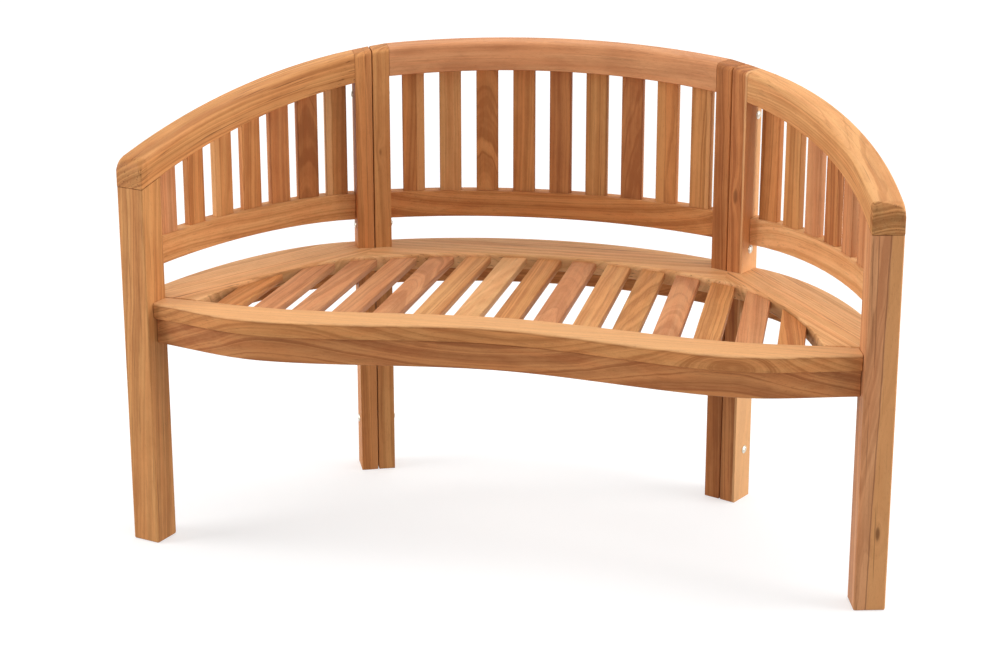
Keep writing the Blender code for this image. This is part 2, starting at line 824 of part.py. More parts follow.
def opening_half_width():
    """Half the width of the slatted opening, where the rear board meets the front board."""
    row = rear_row(REAR_BOARD_INNER_REACH)
    for a, b in zip(row, row[1:]):
        a_room, b_room = a.y - front_board_back_y(a.x), b.y - front_board_back_y(b.x)
        if a_room > 0 >= b_room:
            return a.x + (b.x - a.x) * a_room / (a_room - b_room)
    return row[-1].x


def seat_slat_spans():
    """Left and right edges of the seat slats at their front ends."""
    reach = opening_half_width() - SEAT_SLAT_END_GAP
    width = (2 * reach - (SEAT_SLAT_COUNT - 1) * SEAT_SLAT_GAP) / SEAT_SLAT_COUNT
    starts = [i * (width + SEAT_SLAT_GAP) - reach for i in range(SEAT_SLAT_COUNT)]
    return [(start, start + width) for start in starts]


def tongue_rings(span, front_row, margin):
    """Rings of the tongue that runs through a slat and out at both ends."""
    middle = SEAT_HEIGHT - SEAT_SLAT_DROP - SEAT_SLAT_THICKNESS / 2
    half = TONGUE_THICKNESS / 2 + margin
    return slat_rings(
        span,
        TONGUE_SHOULDER - margin,
        front_row,
        -TONGUE_LENGTH - margin,
        REAR_BOARD_INNER_REACH - TONGUE_LENGTH - margin,
        middle - half,
        middle + half,
    )


def make_seat_slats():
    """Seat slats with a tongue at each end."""
    front_row = edge_row(front_board_back_y, FRONT_BOARD_STATIONS)
    reach = REAR_BOARD_INNER_REACH + CLEARANCE
    top = SEAT_HEIGHT - SEAT_SLAT_DROP
    low = top - SEAT_SLAT_THICKNESS
    slats = []
    for number, span in enumerate(seat_slat_spans(), 1):
        shape = bmesh.new()
        fill_shell(shape, slat_rings(span, 0.0, front_row, CLEARANCE, reach, low, top))
        slat = new_object(f"seat_slat_{number:02d}", shape)
        ease_edges(slat)
        shape = bmesh.new()
        fill_shell(shape, tongue_rings(span, front_row, 0.0))
        combine(slat, new_object(slat.name + ".tongue", shape, is_helper=True), "UNION")
        slats.append(slat)
    return slats


def make_seat_boards():
    """The front board and the rear board, grooved for the slats' tongues."""
    front_row = edge_row(front_board_back_y, FRONT_BOARD_STATIONS)
    count = FRONT_BOARD_STATIONS + 1
    front = strip(
        "front_seat_board",
        edge_row(seat_front_y, FRONT_BOARD_STATIONS),
        front_row,
        [BOARD_BOTTOM] * count,
        [SEAT_HEIGHT] * count,
        BOARD_ROUND,
        BOARD_ROUND_STEPS,
    )
    stations = rear_stations()
    rear = strip(
        "rear_seat_board",
        rear_row(REAR_BOARD_INNER_REACH),
        [s.off(FRAME_DEPTH / 2) for s in stations],
        [BOARD_BOTTOM] * len(stations),
        [SEAT_HEIGHT] * len(stations),
        BOARD_ROUND,
        BOARD_ROUND_STEPS,
    )
    shape = bmesh.new()
    for span in seat_slat_spans():
        fill_shell(shape, tongue_rings(span, front_row, CLEARANCE))
    grooves = new_object("tongue_slots", shape, is_helper=True)
    for board in (front, rear):
        ease_edges(board)
        combine(board, grooves, "DIFFERENCE")
    shape = bmesh.new()
    low, high = BOARD_BOTTOM - CUT_OVERRUN, SEAT_HEIGHT + CUT_OVERRUN
    limits = [Vector((p.x, BULGE_Y - CUT_OVERRUN)) for p in front_row]
    edge = [Vector((p.x, p.y + CLEARANCE)) for p in front_row]
    fill_shell(shape, strip_rings(limits, edge, [low] * count, [high] * count))
    combine(rear, new_object("front_board_space", shape, is_helper=True), "DIFFERENCE")
    notches = []
    for side in SIDES.values():
        station = LINE.at(side * (LINE.post_face + LINE.pair_length / 2))
        plan = station.off(CUT_OVERRUN / 2)
        middle = Vector((plan.x, plan.y, (low + high) / 2))
        depth = FRAME_DEPTH + CUT_OVERRUN
        notches.append(Block(middle, station.along, LINE.pair_length, depth, high - low))
    fitted = [block.grown(CLEARANCE) for block in notches]
    combine(rear, blocks_helper("post_notches", fitted), "DIFFERENCE")
    return [front, rear]


def make_front_apron():
    """Apron under the front board, tenoned into both legs."""
    count = FRONT_BOARD_STATIONS + 1
    apron = strip(
        "front_apron",
        edge_row(apron_front_y, FRONT_BOARD_STATIONS),
        edge_row(apron_back_y, FRONT_BOARD_STATIONS),
        [SEAT_RAIL_BOTTOM] * count,
        [SEAT_RAIL_TOP] * count,
    )
    return finish_piece(apron, [apron_tenon(side) for side in SIDES.values()])


def material(name, colour, roughness, metallic):
    """Principled material of one piece."""
    made = bpy.data.materials.new(name)
    made.use_nodes = True
    shader = made.node_tree.nodes["Principled BSDF"]
    shader.inputs["Base Color"].default_value = (*colour, 1)
    shader.inputs["Roughness"].default_value = roughness
    shader.inputs["Metallic"].default_value = metallic
    return made


def colour_wood(pieces):
    """Gives each wooden piece its own tone of teak."""
    for number, piece in enumerate(pieces):
        tone = 1 + TONE_RANGE * ((number * TONE_STEP) % 1 - TONE_MIDDLE)
        colour = [channel * tone for channel in TEAK_COLOUR]
        piece.data.materials.append(material("teak_" + piece.name, colour, TEAK_ROUGHNESS, 0))


def colour_steel(pieces):
    """Gives each bolt its own plated steel."""
    for piece in pieces:
        made = material("steel_" + piece.name, STEEL_COLOUR, STEEL_ROUGHNESS, 1)
        piece.data.materials.append(made)
        piece.data.shade_smooth()
        piece.data.set_sharp_from_angle(angle=SMOOTH_ANGLE)


def main():
    """Builds the bench under one empty."""
    for item in list(bpy.data.objects):
        bpy.data.objects.remove(item)
    wood, steel = make_panel("", 0), []
    for label, side in SIDES.items():
        suffix = "_" + label
        wood += make_panel(suffix, side)
        wood.append(make_leg(suffix, side))
        posts, bolts = make_posts(suffix, side)
        wood += posts
        steel += bolts
    wood += make_seat_boards()
    wood.append(make_front_apron())
    wood += make_seat_slats()
    colour_wood(wood)
    colour_steel(steel)
    bench = bpy.data.objects.new("bench", None)
    bpy.context.scene.collection.objects.link(bench)
    for piece in wood + steel:
        piece.parent = bench


main()
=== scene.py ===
"""Looks of the curved garden bench: teak boards, plated bolts and a plain pale studio.

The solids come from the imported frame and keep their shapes. This script smooths their shading, gives
each board its own piece of teak, adds the detailed bolts, and sets up the light and the camera.
Units are metres, +Z is up and the front of the seat faces -Y.
"""

import logging
import math
from dataclasses import dataclass
from enum import Enum

import bmesh
import bpy
import numpy as np
from mathutils import Matrix
from mathutils import Vector


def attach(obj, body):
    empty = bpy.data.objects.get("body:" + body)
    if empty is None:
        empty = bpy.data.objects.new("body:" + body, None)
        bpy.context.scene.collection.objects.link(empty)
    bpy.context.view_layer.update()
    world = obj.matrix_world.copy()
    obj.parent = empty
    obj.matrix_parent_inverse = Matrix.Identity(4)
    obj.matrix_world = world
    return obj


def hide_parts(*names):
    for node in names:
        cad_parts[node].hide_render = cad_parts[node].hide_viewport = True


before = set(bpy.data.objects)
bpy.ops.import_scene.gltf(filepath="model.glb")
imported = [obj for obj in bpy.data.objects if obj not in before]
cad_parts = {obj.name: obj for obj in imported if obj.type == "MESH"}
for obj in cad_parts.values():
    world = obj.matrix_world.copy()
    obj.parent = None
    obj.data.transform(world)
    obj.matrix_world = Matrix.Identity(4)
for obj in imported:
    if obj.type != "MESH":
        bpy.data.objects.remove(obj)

LOG = logging.getLogger("garden_bench")
ROOT = "root"

Colour = tuple[float, float, float]
Place = tuple[float, float, float]
Span = tuple[float, float]
Socket = bpy.types.NodeSocket
Source = Socket | float | tuple[float, ...]


class Side(Enum):
    """The two halves of the bench."""

    LEFT = "left"
    RIGHT = "right"

    @property
    def sign(self) -> int:
        """Direction of the side along X."""
        return -1 if self is Side.LEFT else 1


class Cut(Enum):
    """How a board was sawn from the log: where the heart lies, across and below the board."""

    QUARTER = (0.30, 0.05)
    RIFT = (0.13, 0.11)
    FLAT = (0.030, 0.110)
    CROWN = (-0.004, 0.060)

    @property
    def heart(self) -> Place:
        """Offset of the heart from the middle of the board, in board directions."""
        return (0.0, *self.value)


class Tone(Enum):
    """Colour family of a board: its pale early wood and its darker late wood."""

    # Darker, more saturated families go mostly on the front-facing slats, posts and rails, which stand in
    # shade, and paler ones on lit tops and side-lit rails: this difference is partly painted shade and
    # light, and partly the wood's own colour.
    PALE = ((0.810, 0.465, 0.215), (0.630, 0.325, 0.130))
    HONEY = ((0.700, 0.362, 0.144), (0.505, 0.230, 0.081))
    GOLDEN = ((0.640, 0.308, 0.110), (0.440, 0.186, 0.061))
    OLIVE = ((0.620, 0.306, 0.110), (0.420, 0.186, 0.061))
    BROWN = ((0.635, 0.284, 0.097), (0.425, 0.165, 0.051))
    ROSE = ((0.650, 0.312, 0.142), (0.470, 0.205, 0.088))
    RUSSET = ((0.560, 0.238, 0.084), (0.360, 0.130, 0.043))
    DARK = ((0.500, 0.204, 0.068), (0.305, 0.108, 0.033))

    @property
    def light(self) -> Colour:
        """Colour of the early wood."""
        return self.value[0]

    @property
    def dark(self) -> Colour:
        """Colour of the late wood."""
        return self.value[1]


class Layer(Enum):
    """Side of a board on which a lighter layer lies, as a direction across and through the board."""

    RIGHT = (1.0, 0.0)
    LEFT = (-1.0, 0.0)
    TOP = (0.0, 1.0)
    OUTSIDE = (0.0, -1.0)


class Mixing(Enum):
    """What a Mix node mixes, with the indexes of its two inputs and of its result."""

    VECTOR = (4, 5, 1)
    RGBA = (6, 7, 2)


def opaque(colour: Colour) -> tuple[float, float, float, float]:
    """Adds full opacity to a colour."""
    return (*colour, 1.0)


def evenly(number: float) -> Place:
    """Repeats a number in three directions."""
    return (number, number, number)


class Graph:
    """Adds nodes to one tree and wires them.

    Args:
        tree: The node tree of a material, world or group.
    """

    def __init__(self, tree: bpy.types.NodeTree) -> None:
        """Keeps the tree."""
        self.tree = tree

    def feed(self, socket: Socket, value: Source) -> None:
        """Links a socket to another one, or sets its value.

        Args:
            socket: The input to feed.
            value: The output that feeds it, or its value.
        """
        if isinstance(value, Socket):
            self.tree.links.new(value, socket)
        else:
            socket.default_value = value

    def add(
        self,
        kind: str,
        inputs: dict[str | int, Source] | None = None,
        **settings: object,
    ) -> bpy.types.Node:
        """Adds one node.

        Args:
            kind: Type name of the node.
            inputs: Sources of its sockets, by name or index.
            settings: Properties of the node.

        Returns:
            The new node.
        """
        node = self.tree.nodes.new(kind)
        for name, value in settings.items():
            setattr(node, name, value)
        for name, value in (inputs or {}).items():
            self.feed(node.inputs[name], value)
        return node

    def math(self, operation: str, *values: Source, clamp: bool = False) -> Socket:
        """Adds a Math node and returns its result."""
        inputs = dict(enumerate(values))
        return self.add("ShaderNodeMath", inputs, operation=operation, use_clamp=clamp).outputs[0]

    def vector(self, operation: str, *values: Source) -> Socket:
        """Adds a Vector Math node and returns its result, a number for a length or a dot product."""
        node = self.add("ShaderNodeVectorMath", dict(enumerate(values)), operation=operation)
        return node.outputs["Value" if operation in ("LENGTH", "DOT_PRODUCT") else "Vector"]

    def scaled(self, vector: Source, factor: Source) -> Socket:
        """Multiplies a vector by a number."""
        inputs = {0: vector, "Scale": factor}
        return self.add("ShaderNodeVectorMath", inputs, operation="SCALE").outputs[0]

    def parts(self, vector: Source) -> bpy.types.NodeOutputs:
        """Splits a vector and returns its X, Y and Z."""
        return self.add("ShaderNodeSeparateXYZ", {0: vector}).outputs

    def joined(self, x: Source, y: Source, z: Source) -> Socket:
        """Makes a vector of three numbers."""
        return self.add("ShaderNodeCombineXYZ", {"X": x, "Y": y, "Z": z}).outputs[0]

    def ramp(self, value: Source, span: Span, start: float = 0.0, end: float = 1.0) -> Socket:
        """Maps a value smoothly from a span onto a range.

        Args:
            value: The value.
            span: Lowest and highest value that matter.
            start: Result at the lowest.
            end: Result at the highest.

        Returns:
            The mapped value.
        """
        low, high = span
        inputs = {"Value": value, "From Min": low, "From Max": high, "To Min": start, "To Max": end}
        return self.add("ShaderNodeMapRange", inputs, interpolation_type="SMOOTHSTEP").outputs["Result"]

    def noise(self, vector: Source, detail: float, roughness: float = 0.55, output: str = "Fac") -> Socket:
        """Adds a 3-D noise of unit scale and returns its value or another output."""
        inputs = {"Vector": vector, "Scale": 1.0, "Detail": detail, "Roughness": roughness}
        return self.add("ShaderNodeTexNoise", inputs).outputs[output]

    def noise_line(self, value: Source, detail: float, roughness: float = 0.6) -> Socket:
        """Adds a 1-D noise of unit scale and returns its value."""
        inputs = {"W": value, "Scale": 1.0, "Detail": detail, "Roughness": roughness}
        return self.add("ShaderNodeTexNoise", inputs, noise_dimensions="1D").outputs["Fac"]

    def group(self, tree: bpy.types.NodeTree, inputs: dict[str, Source]) -> bpy.types.Node:
        """Adds a node group, feeds its inputs by name and returns its node."""
        return self.add("ShaderNodeGroup", inputs, node_tree=tree)

    def mix(self, kind: Mixing, share: Source, first: Source, second: Source, blend: str = "MIX") -> Socket:
        """Adds a Mix node.

        Args:
            kind: What it mixes.
            share: Share of the second input.
            first: Its first input.
            second: Its second input.
            blend: How it blends colours.

        Returns:
            The mixed vector or colour.
        """
        start, end, result = kind.value
        inputs = {0: share, start: first, end: second}
        node = self.add("ShaderNodeMix", inputs, data_type=kind.name, blend_type=blend)
        return node.outputs[result]

    def tint(self, share: Source, first: Source, second: Source) -> Socket:
        """Mixes two colours."""
        return self.mix(Mixing.RGBA, share, first, second)

    def dyed(self, colour: Source, dye: Colour) -> Socket:
        """Multiplies a colour by another one."""
        return self.mix(Mixing.RGBA, 1.0, colour, opaque(dye), "MULTIPLY")


class EffectGroup:
    """A node group with named sockets, for an effect that several materials use.

    Args:
        name: Name of the group.
        inputs: Socket kind of each input, by name.
        outputs: Socket kind of each output, by name.
    """

    def __init__(self, name: str, inputs: dict[str, str], outputs: dict[str, str]) -> None:
        """Makes the group and its sockets."""
        self.tree = bpy.data.node_groups.new(name, "ShaderNodeTree")
        for in_out, sockets in (("INPUT", inputs), ("OUTPUT", outputs)):
            for label, kind in sockets.items():
                self.tree.interface.new_socket(label, in_out=in_out, socket_type="NodeSocket" + kind)
        self.graph = Graph(self.tree)
        self.source = self.graph.add("NodeGroupInput")
        self.sink = self.graph.add("NodeGroupOutput")

    def take(self, label: str) -> Socket:
        """Input of the group."""
        return self.source.outputs[label]

    def give(self, label: str, value: Source) -> None:
        """Feeds an output of the group."""
        self.graph.feed(self.sink.inputs[label], value)


@dataclass(frozen=True)
class GrowthRings:
    """Growth rings round a heart line that leans through the board, with an optional knot.

    Args:
        wander_rate: How often the rings wander per metre, along, across and through the board.
        ripple_rate: The same for their smaller ripples.
        ripple_share: Size of the ripples, as a share of the wander.
        seed_drop: Keeps the seeds of the wander apart from one another.
        knot_length_share: Width of a knot, as a share of its length along the grain.
        knot_fade: How fast the push of a knot fades away from it.
        knot_rim: Where a knot's core starts and ends to fade, in knot radii.
        broad_rate: Noise steps per ring of the broad bands.
        fine_rate: The same for the fine bands.
        fine_seed_share: Seed of the fine bands, as a share of the board's.
        late_rate: The same for the dark late wood lines.
        late_seed_share: Seed of those lines, as a share of the board's.
        broad_span: Part of the noise that makes the broad bands.
        fine_span: Part of the noise that makes the fine bands.
        line_span: Thickness of the late wood lines, in noise.
        line_break_span: Part of the fine bands in which those lines show.
    """

    wander_rate: Place = (2.6, 9.0, 9.0)
    ripple_rate: Place = (11.0, 30.0, 30.0)
    ripple_share: float = 0.26
    seed_drop: float = 3.7
    knot_length_share: float = 0.34
    knot_fade: float = 0.35
    knot_rim: Span = (0.45, 1.0)
    broad_rate: float = 0.34
    fine_rate: float = 1.25
    fine_seed_share: float = 1.7
    late_rate: float = 0.62
    late_seed_share: float = 2.3
    broad_span: Span = (0.32, 0.68)
    fine_span: Span = (0.30, 0.70)
    line_span: Span = (0.004, 0.040)
    line_break_span: Span = (0.35, 0.65)

    def make(self) -> bpy.types.NodeTree:
        """Makes the group.

        Returns:
            A group that puts out the late wood lines, the broad bands, the fine bands and the knot.
        """
        group = EffectGroup(
            "growth rings",
            {
                "Vector": "Vector",
                "Heart": "Vector",
                "Lean": "Vector",
                "Spacing": "Float",
                "Waver": "Float",
                "Knot": "Vector",
                "Knot Reach": "Float",
                "Knot Push": "Float",
                "Knot Darkness": "Float",
                "Seed": "Float",
            },
            {"Late Wood": "Float", "Broad Band": "Float", "Fine Band": "Float", "Knot": "Float"},
        )
        graph = group.graph
        moved = self.wandering(group)
        from_knot = graph.vector("SUBTRACT", moved, group.take("Knot"))
        from_knot = graph.vector("MULTIPLY", from_knot, (self.knot_length_share, 1.0, 1.0))
        near = graph.scaled(from_knot, graph.math("DIVIDE", 1.0, group.take("Knot Reach")))
        distance = graph.vector("LENGTH", near)
        spread = graph.math("MULTIPLY", distance, distance)
        falloff = graph.math("EXPONENT", graph.math("MULTIPLY", spread, -self.knot_fade))
        radius = graph.math("MULTIPLY_ADD", falloff, group.take("Knot Push"), self.radius(group, moved))
        phase = graph.math("DIVIDE", radius, group.take("Spacing"))
        seed = group.take("Seed")
        broad = graph.noise_line(graph.math("MULTIPLY_ADD", phase, self.broad_rate, seed), detail=2.0)
        group.give("Broad Band", graph.ramp(broad, self.broad_span))
        fine_seed = graph.math("MULTIPLY", seed, self.fine_seed_share)
        fine = graph.noise_line(graph.math("MULTIPLY_ADD", phase, self.fine_rate, fine_seed), detail=2.0)
        group.give("Fine Band", graph.ramp(fine, self.fine_span))
        late_seed = graph.math("MULTIPLY", seed, self.late_seed_share)
        late = graph.noise_line(graph.math("MULTIPLY_ADD", phase, self.late_rate, late_seed), detail=1.0)
        off_middle = graph.math("ABSOLUTE", graph.math("SUBTRACT", late, 0.5))
        line = graph.ramp(off_middle, self.line_span, 1.0, 0.0)
        group.give("Late Wood", graph.math("MULTIPLY", line, graph.ramp(fine, self.line_break_span)))
        core = graph.ramp(distance, self.knot_rim, 1.0, 0.0)
        group.give("Knot", graph.math("MULTIPLY", core, group.take("Knot Darkness")))
        return group.tree

    def wandering(self, group: EffectGroup) -> Socket:
        """Moves places a little, so that rings drawn from them aren't true circles.

        Args:
            group: The group of the rings.

        Returns:
            The moved places.
        """
        graph = group.graph
        place = group.take("Vector")
        seed = graph.joined(group.take("Seed"), self.seed_drop, group.take("Seed"))
        wander, ripple = [
            graph.vector(
                "SUBTRACT",
                graph.noise(graph.vector("MULTIPLY_ADD", place, rate, seed), detail=2.0, output="Color"),
                evenly(0.5),
            )
            for rate in (self.wander_rate, self.ripple_rate)
        ]
        shift = graph.vector("MULTIPLY_ADD", ripple, evenly(self.ripple_share), wander)
        return graph.vector("ADD", place, graph.scaled(shift, group.take("Waver")))

    @staticmethod
    def radius(group: EffectGroup, moved: Socket) -> Socket:
        """Distance of places from the leaning heart line.

        Args:
            group: The group of the rings.
            moved: The places.

        Returns:
            The distance.
        """
        graph = group.graph
        along = graph.parts(group.take("Vector"))["X"]
        heart = graph.vector("ADD", group.take("Heart"), graph.scaled(group.take("Lean"), along))
        spoke = graph.vector("MULTIPLY", graph.vector("SUBTRACT", moved, heart), (0.0, 1.0, 1.0))
        return graph.vector("LENGTH", spoke)


@dataclass(frozen=True)
class Fibres:
    """Long fibres, short open pores, dark mineral veins and slow changes of colour.

    Rates are noise steps per metre along, across and through the board, spans are the parts of the noise
    that show.

    Args:
        seed_height: Third part of the seed.
        far_seed_turn: Turns the seed into one for the blush and the veins.
        far_seed_shift: Shifts that one.
        streak_span: Span of the streaks.
        pore_rate: Rate of the pores.
        pore_span: Span of the pores.
        mottle_rate: Rate of the cloudy patches.
        mottle_span: Span of the cloudy patches.
        blush_rate: Rate of the rosy stripes.
        blush_span: Span of the rosy stripes.
        vein_rate: Rate of the dark veins.
        vein_span: Span of the dark veins.
    """

    seed_height: float = 1.3
    far_seed_turn: Place = (1.9, 2.7, 1.0)
    far_seed_shift: Place = (5.1, 0.0, 9.4)
    streak_span: Span = (0.28, 0.72)
    pore_rate: Place = (110.0, 1500.0, 1500.0)
    pore_span: Span = (0.60, 0.72)
    mottle_rate: Place = (13.0, 36.0, 36.0)
    mottle_span: Span = (0.28, 0.72)
    blush_rate: Place = (4.0, 62.0, 62.0)
    blush_span: Span = (0.36, 0.64)
    vein_rate: Place = (5.5, 330.0, 330.0)
    vein_span: Span = (0.60, 0.74)

    def make(self) -> bpy.types.NodeTree:
        """Makes the group.

        Returns:
            A group that puts out the streaks, the pores, the mottle, the blush and the veins.
        """
        group = EffectGroup(
            "fibres",
            {"Vector": "Vector", "Length": "Float", "Width": "Float", "Seed": "Float"},
            {"Streak": "Float", "Pore": "Float", "Mottle": "Float", "Blush": "Float", "Vein": "Float"},
        )
        graph = group.graph
        place = group.take("Vector")
        seed = graph.joined(group.take("Seed"), group.take("Seed"), self.seed_height)
        far_seed = graph.vector("MULTIPLY_ADD", seed, self.far_seed_turn, self.far_seed_shift)
        across = graph.math("DIVIDE", 1.0, group.take("Width"))
        along = graph.math("DIVIDE", 1.0, group.take("Length"))
        streak_rate = graph.joined(along, across, across)
        streak_place = graph.vector("MULTIPLY_ADD", place, streak_rate, seed)
        streaks = graph.noise(streak_place, detail=4.0, roughness=0.65)
        group.give("Streak", graph.ramp(streaks, self.streak_span))
        pores = graph.noise(graph.vector("MULTIPLY_ADD", place, self.pore_rate, seed), detail=1.0)
        group.give("Pore", graph.ramp(pores, self.pore_span))
        mottle_place = graph.vector("MULTIPLY_ADD", place, self.mottle_rate, seed)
        mottle = graph.noise(mottle_place, detail=3.0, roughness=0.6)
        group.give("Mottle", graph.ramp(mottle, self.mottle_span))
        blush = graph.noise(graph.vector("MULTIPLY_ADD", place, self.blush_rate, far_seed), detail=2.0)
        group.give("Blush", graph.ramp(blush, self.blush_span))
        vein_place = graph.vector("MULTIPLY_ADD", place, self.vein_rate, far_seed)
        veins = graph.noise(vein_place, detail=2.0, roughness=0.5)
        group.give("Vein", graph.ramp(veins, self.vein_span))
        return group.tree


@dataclass(frozen=True)
class EndGrain:
    """Mask of the sawn ends, where the surface faces along the grain.

    Args:
        facing_softness: How gradually a surface turns into an end.
        start_softness: Length over which an end starts.
    """

    facing_softness: float = 0.08
    start_softness: float = 0.002

    def make(self) -> bpy.types.NodeTree:
        """Makes the group.

        Returns:
            A group that puts out the mask.
        """
        inputs = {"Normal": "Vector", "Place": "Vector", "Axis": "Vector"}
        numbers = {"Start": "Float", "Facing": "Float", "Strength": "Float"}
        group = EffectGroup("end grain", inputs | numbers, {"End": "Float"})
        graph = group.graph
        axis = group.take("Axis")
        facing = graph.math("ABSOLUTE", graph.vector("DOT_PRODUCT", group.take("Normal"), axis))
        past_facing = graph.math("SUBTRACT", facing, group.take("Facing"))
        faces_out = graph.ramp(past_facing, (-self.facing_softness, self.facing_softness))
        reach = graph.vector("DOT_PRODUCT", group.take("Place"), axis)
        past_start = graph.math("SUBTRACT", reach, group.take("Start"))
        share = graph.math("MULTIPLY", faces_out, graph.ramp(past_start, (0.0, self.start_softness)))
        group.give("End", graph.math("MULTIPLY", share, group.take("Strength")))
        return group.tree


@dataclass(frozen=True)
class SapwoodAndPaintedLight:
    """A lighter layer along one side of a board, with an uneven border: sapwood on most boards, painted
    light on the front seat board's top, and partly painted light on the right side post's outer face.

    Args:
        border_rate: How often the border wavers per metre, along, across and through the board.
        border_waver: How far it wavers.
        border_softness: Length over which the layer starts.
        line_span: Half thickness of the dark line at the border, where it starts and ends to fade.
        seed_height: Third part of the seed.
    """

    border_rate: Place = (9.0, 60.0, 60.0)
    border_waver: float = 0.006
    border_softness: float = 0.0035
    line_span: Span = (0.0002, 0.0016)
    seed_height: float = 8.1

    def make(self) -> bpy.types.NodeTree:
        """Makes the group.

        Returns:
            A group that puts out the mask of the layer and the one of the dark line at its border.
        """
        group = EffectGroup(
            "sapwood_and_painted_light",
            {"Vector": "Vector", "Border": "Float", "Direction": "Vector", "Seed": "Float"},
            {"SapwoodAndPaintedLight": "Float", "Sap And Painted Light Border": "Float"},
        )
        graph = group.graph
        place = group.take("Vector")
        seed = graph.joined(group.take("Seed"), 0.0, self.seed_height)
        uneven = graph.noise(graph.vector("MULTIPLY_ADD", place, self.border_rate, seed), detail=2.0)
        reach = graph.vector("DOT_PRODUCT", place, group.take("Direction"))
        border = graph.math("MULTIPLY_ADD", uneven, self.border_waver, reach)
        past = graph.math("SUBTRACT", border, group.take("Border"))
        group.give("SapwoodAndPaintedLight", graph.ramp(past, (0.0, self.border_softness)))
        group.give("Sap And Painted Light Border", graph.ramp(graph.math("ABSOLUTE", past), self.line_span, 1.0, 0.0))
        return group.tree


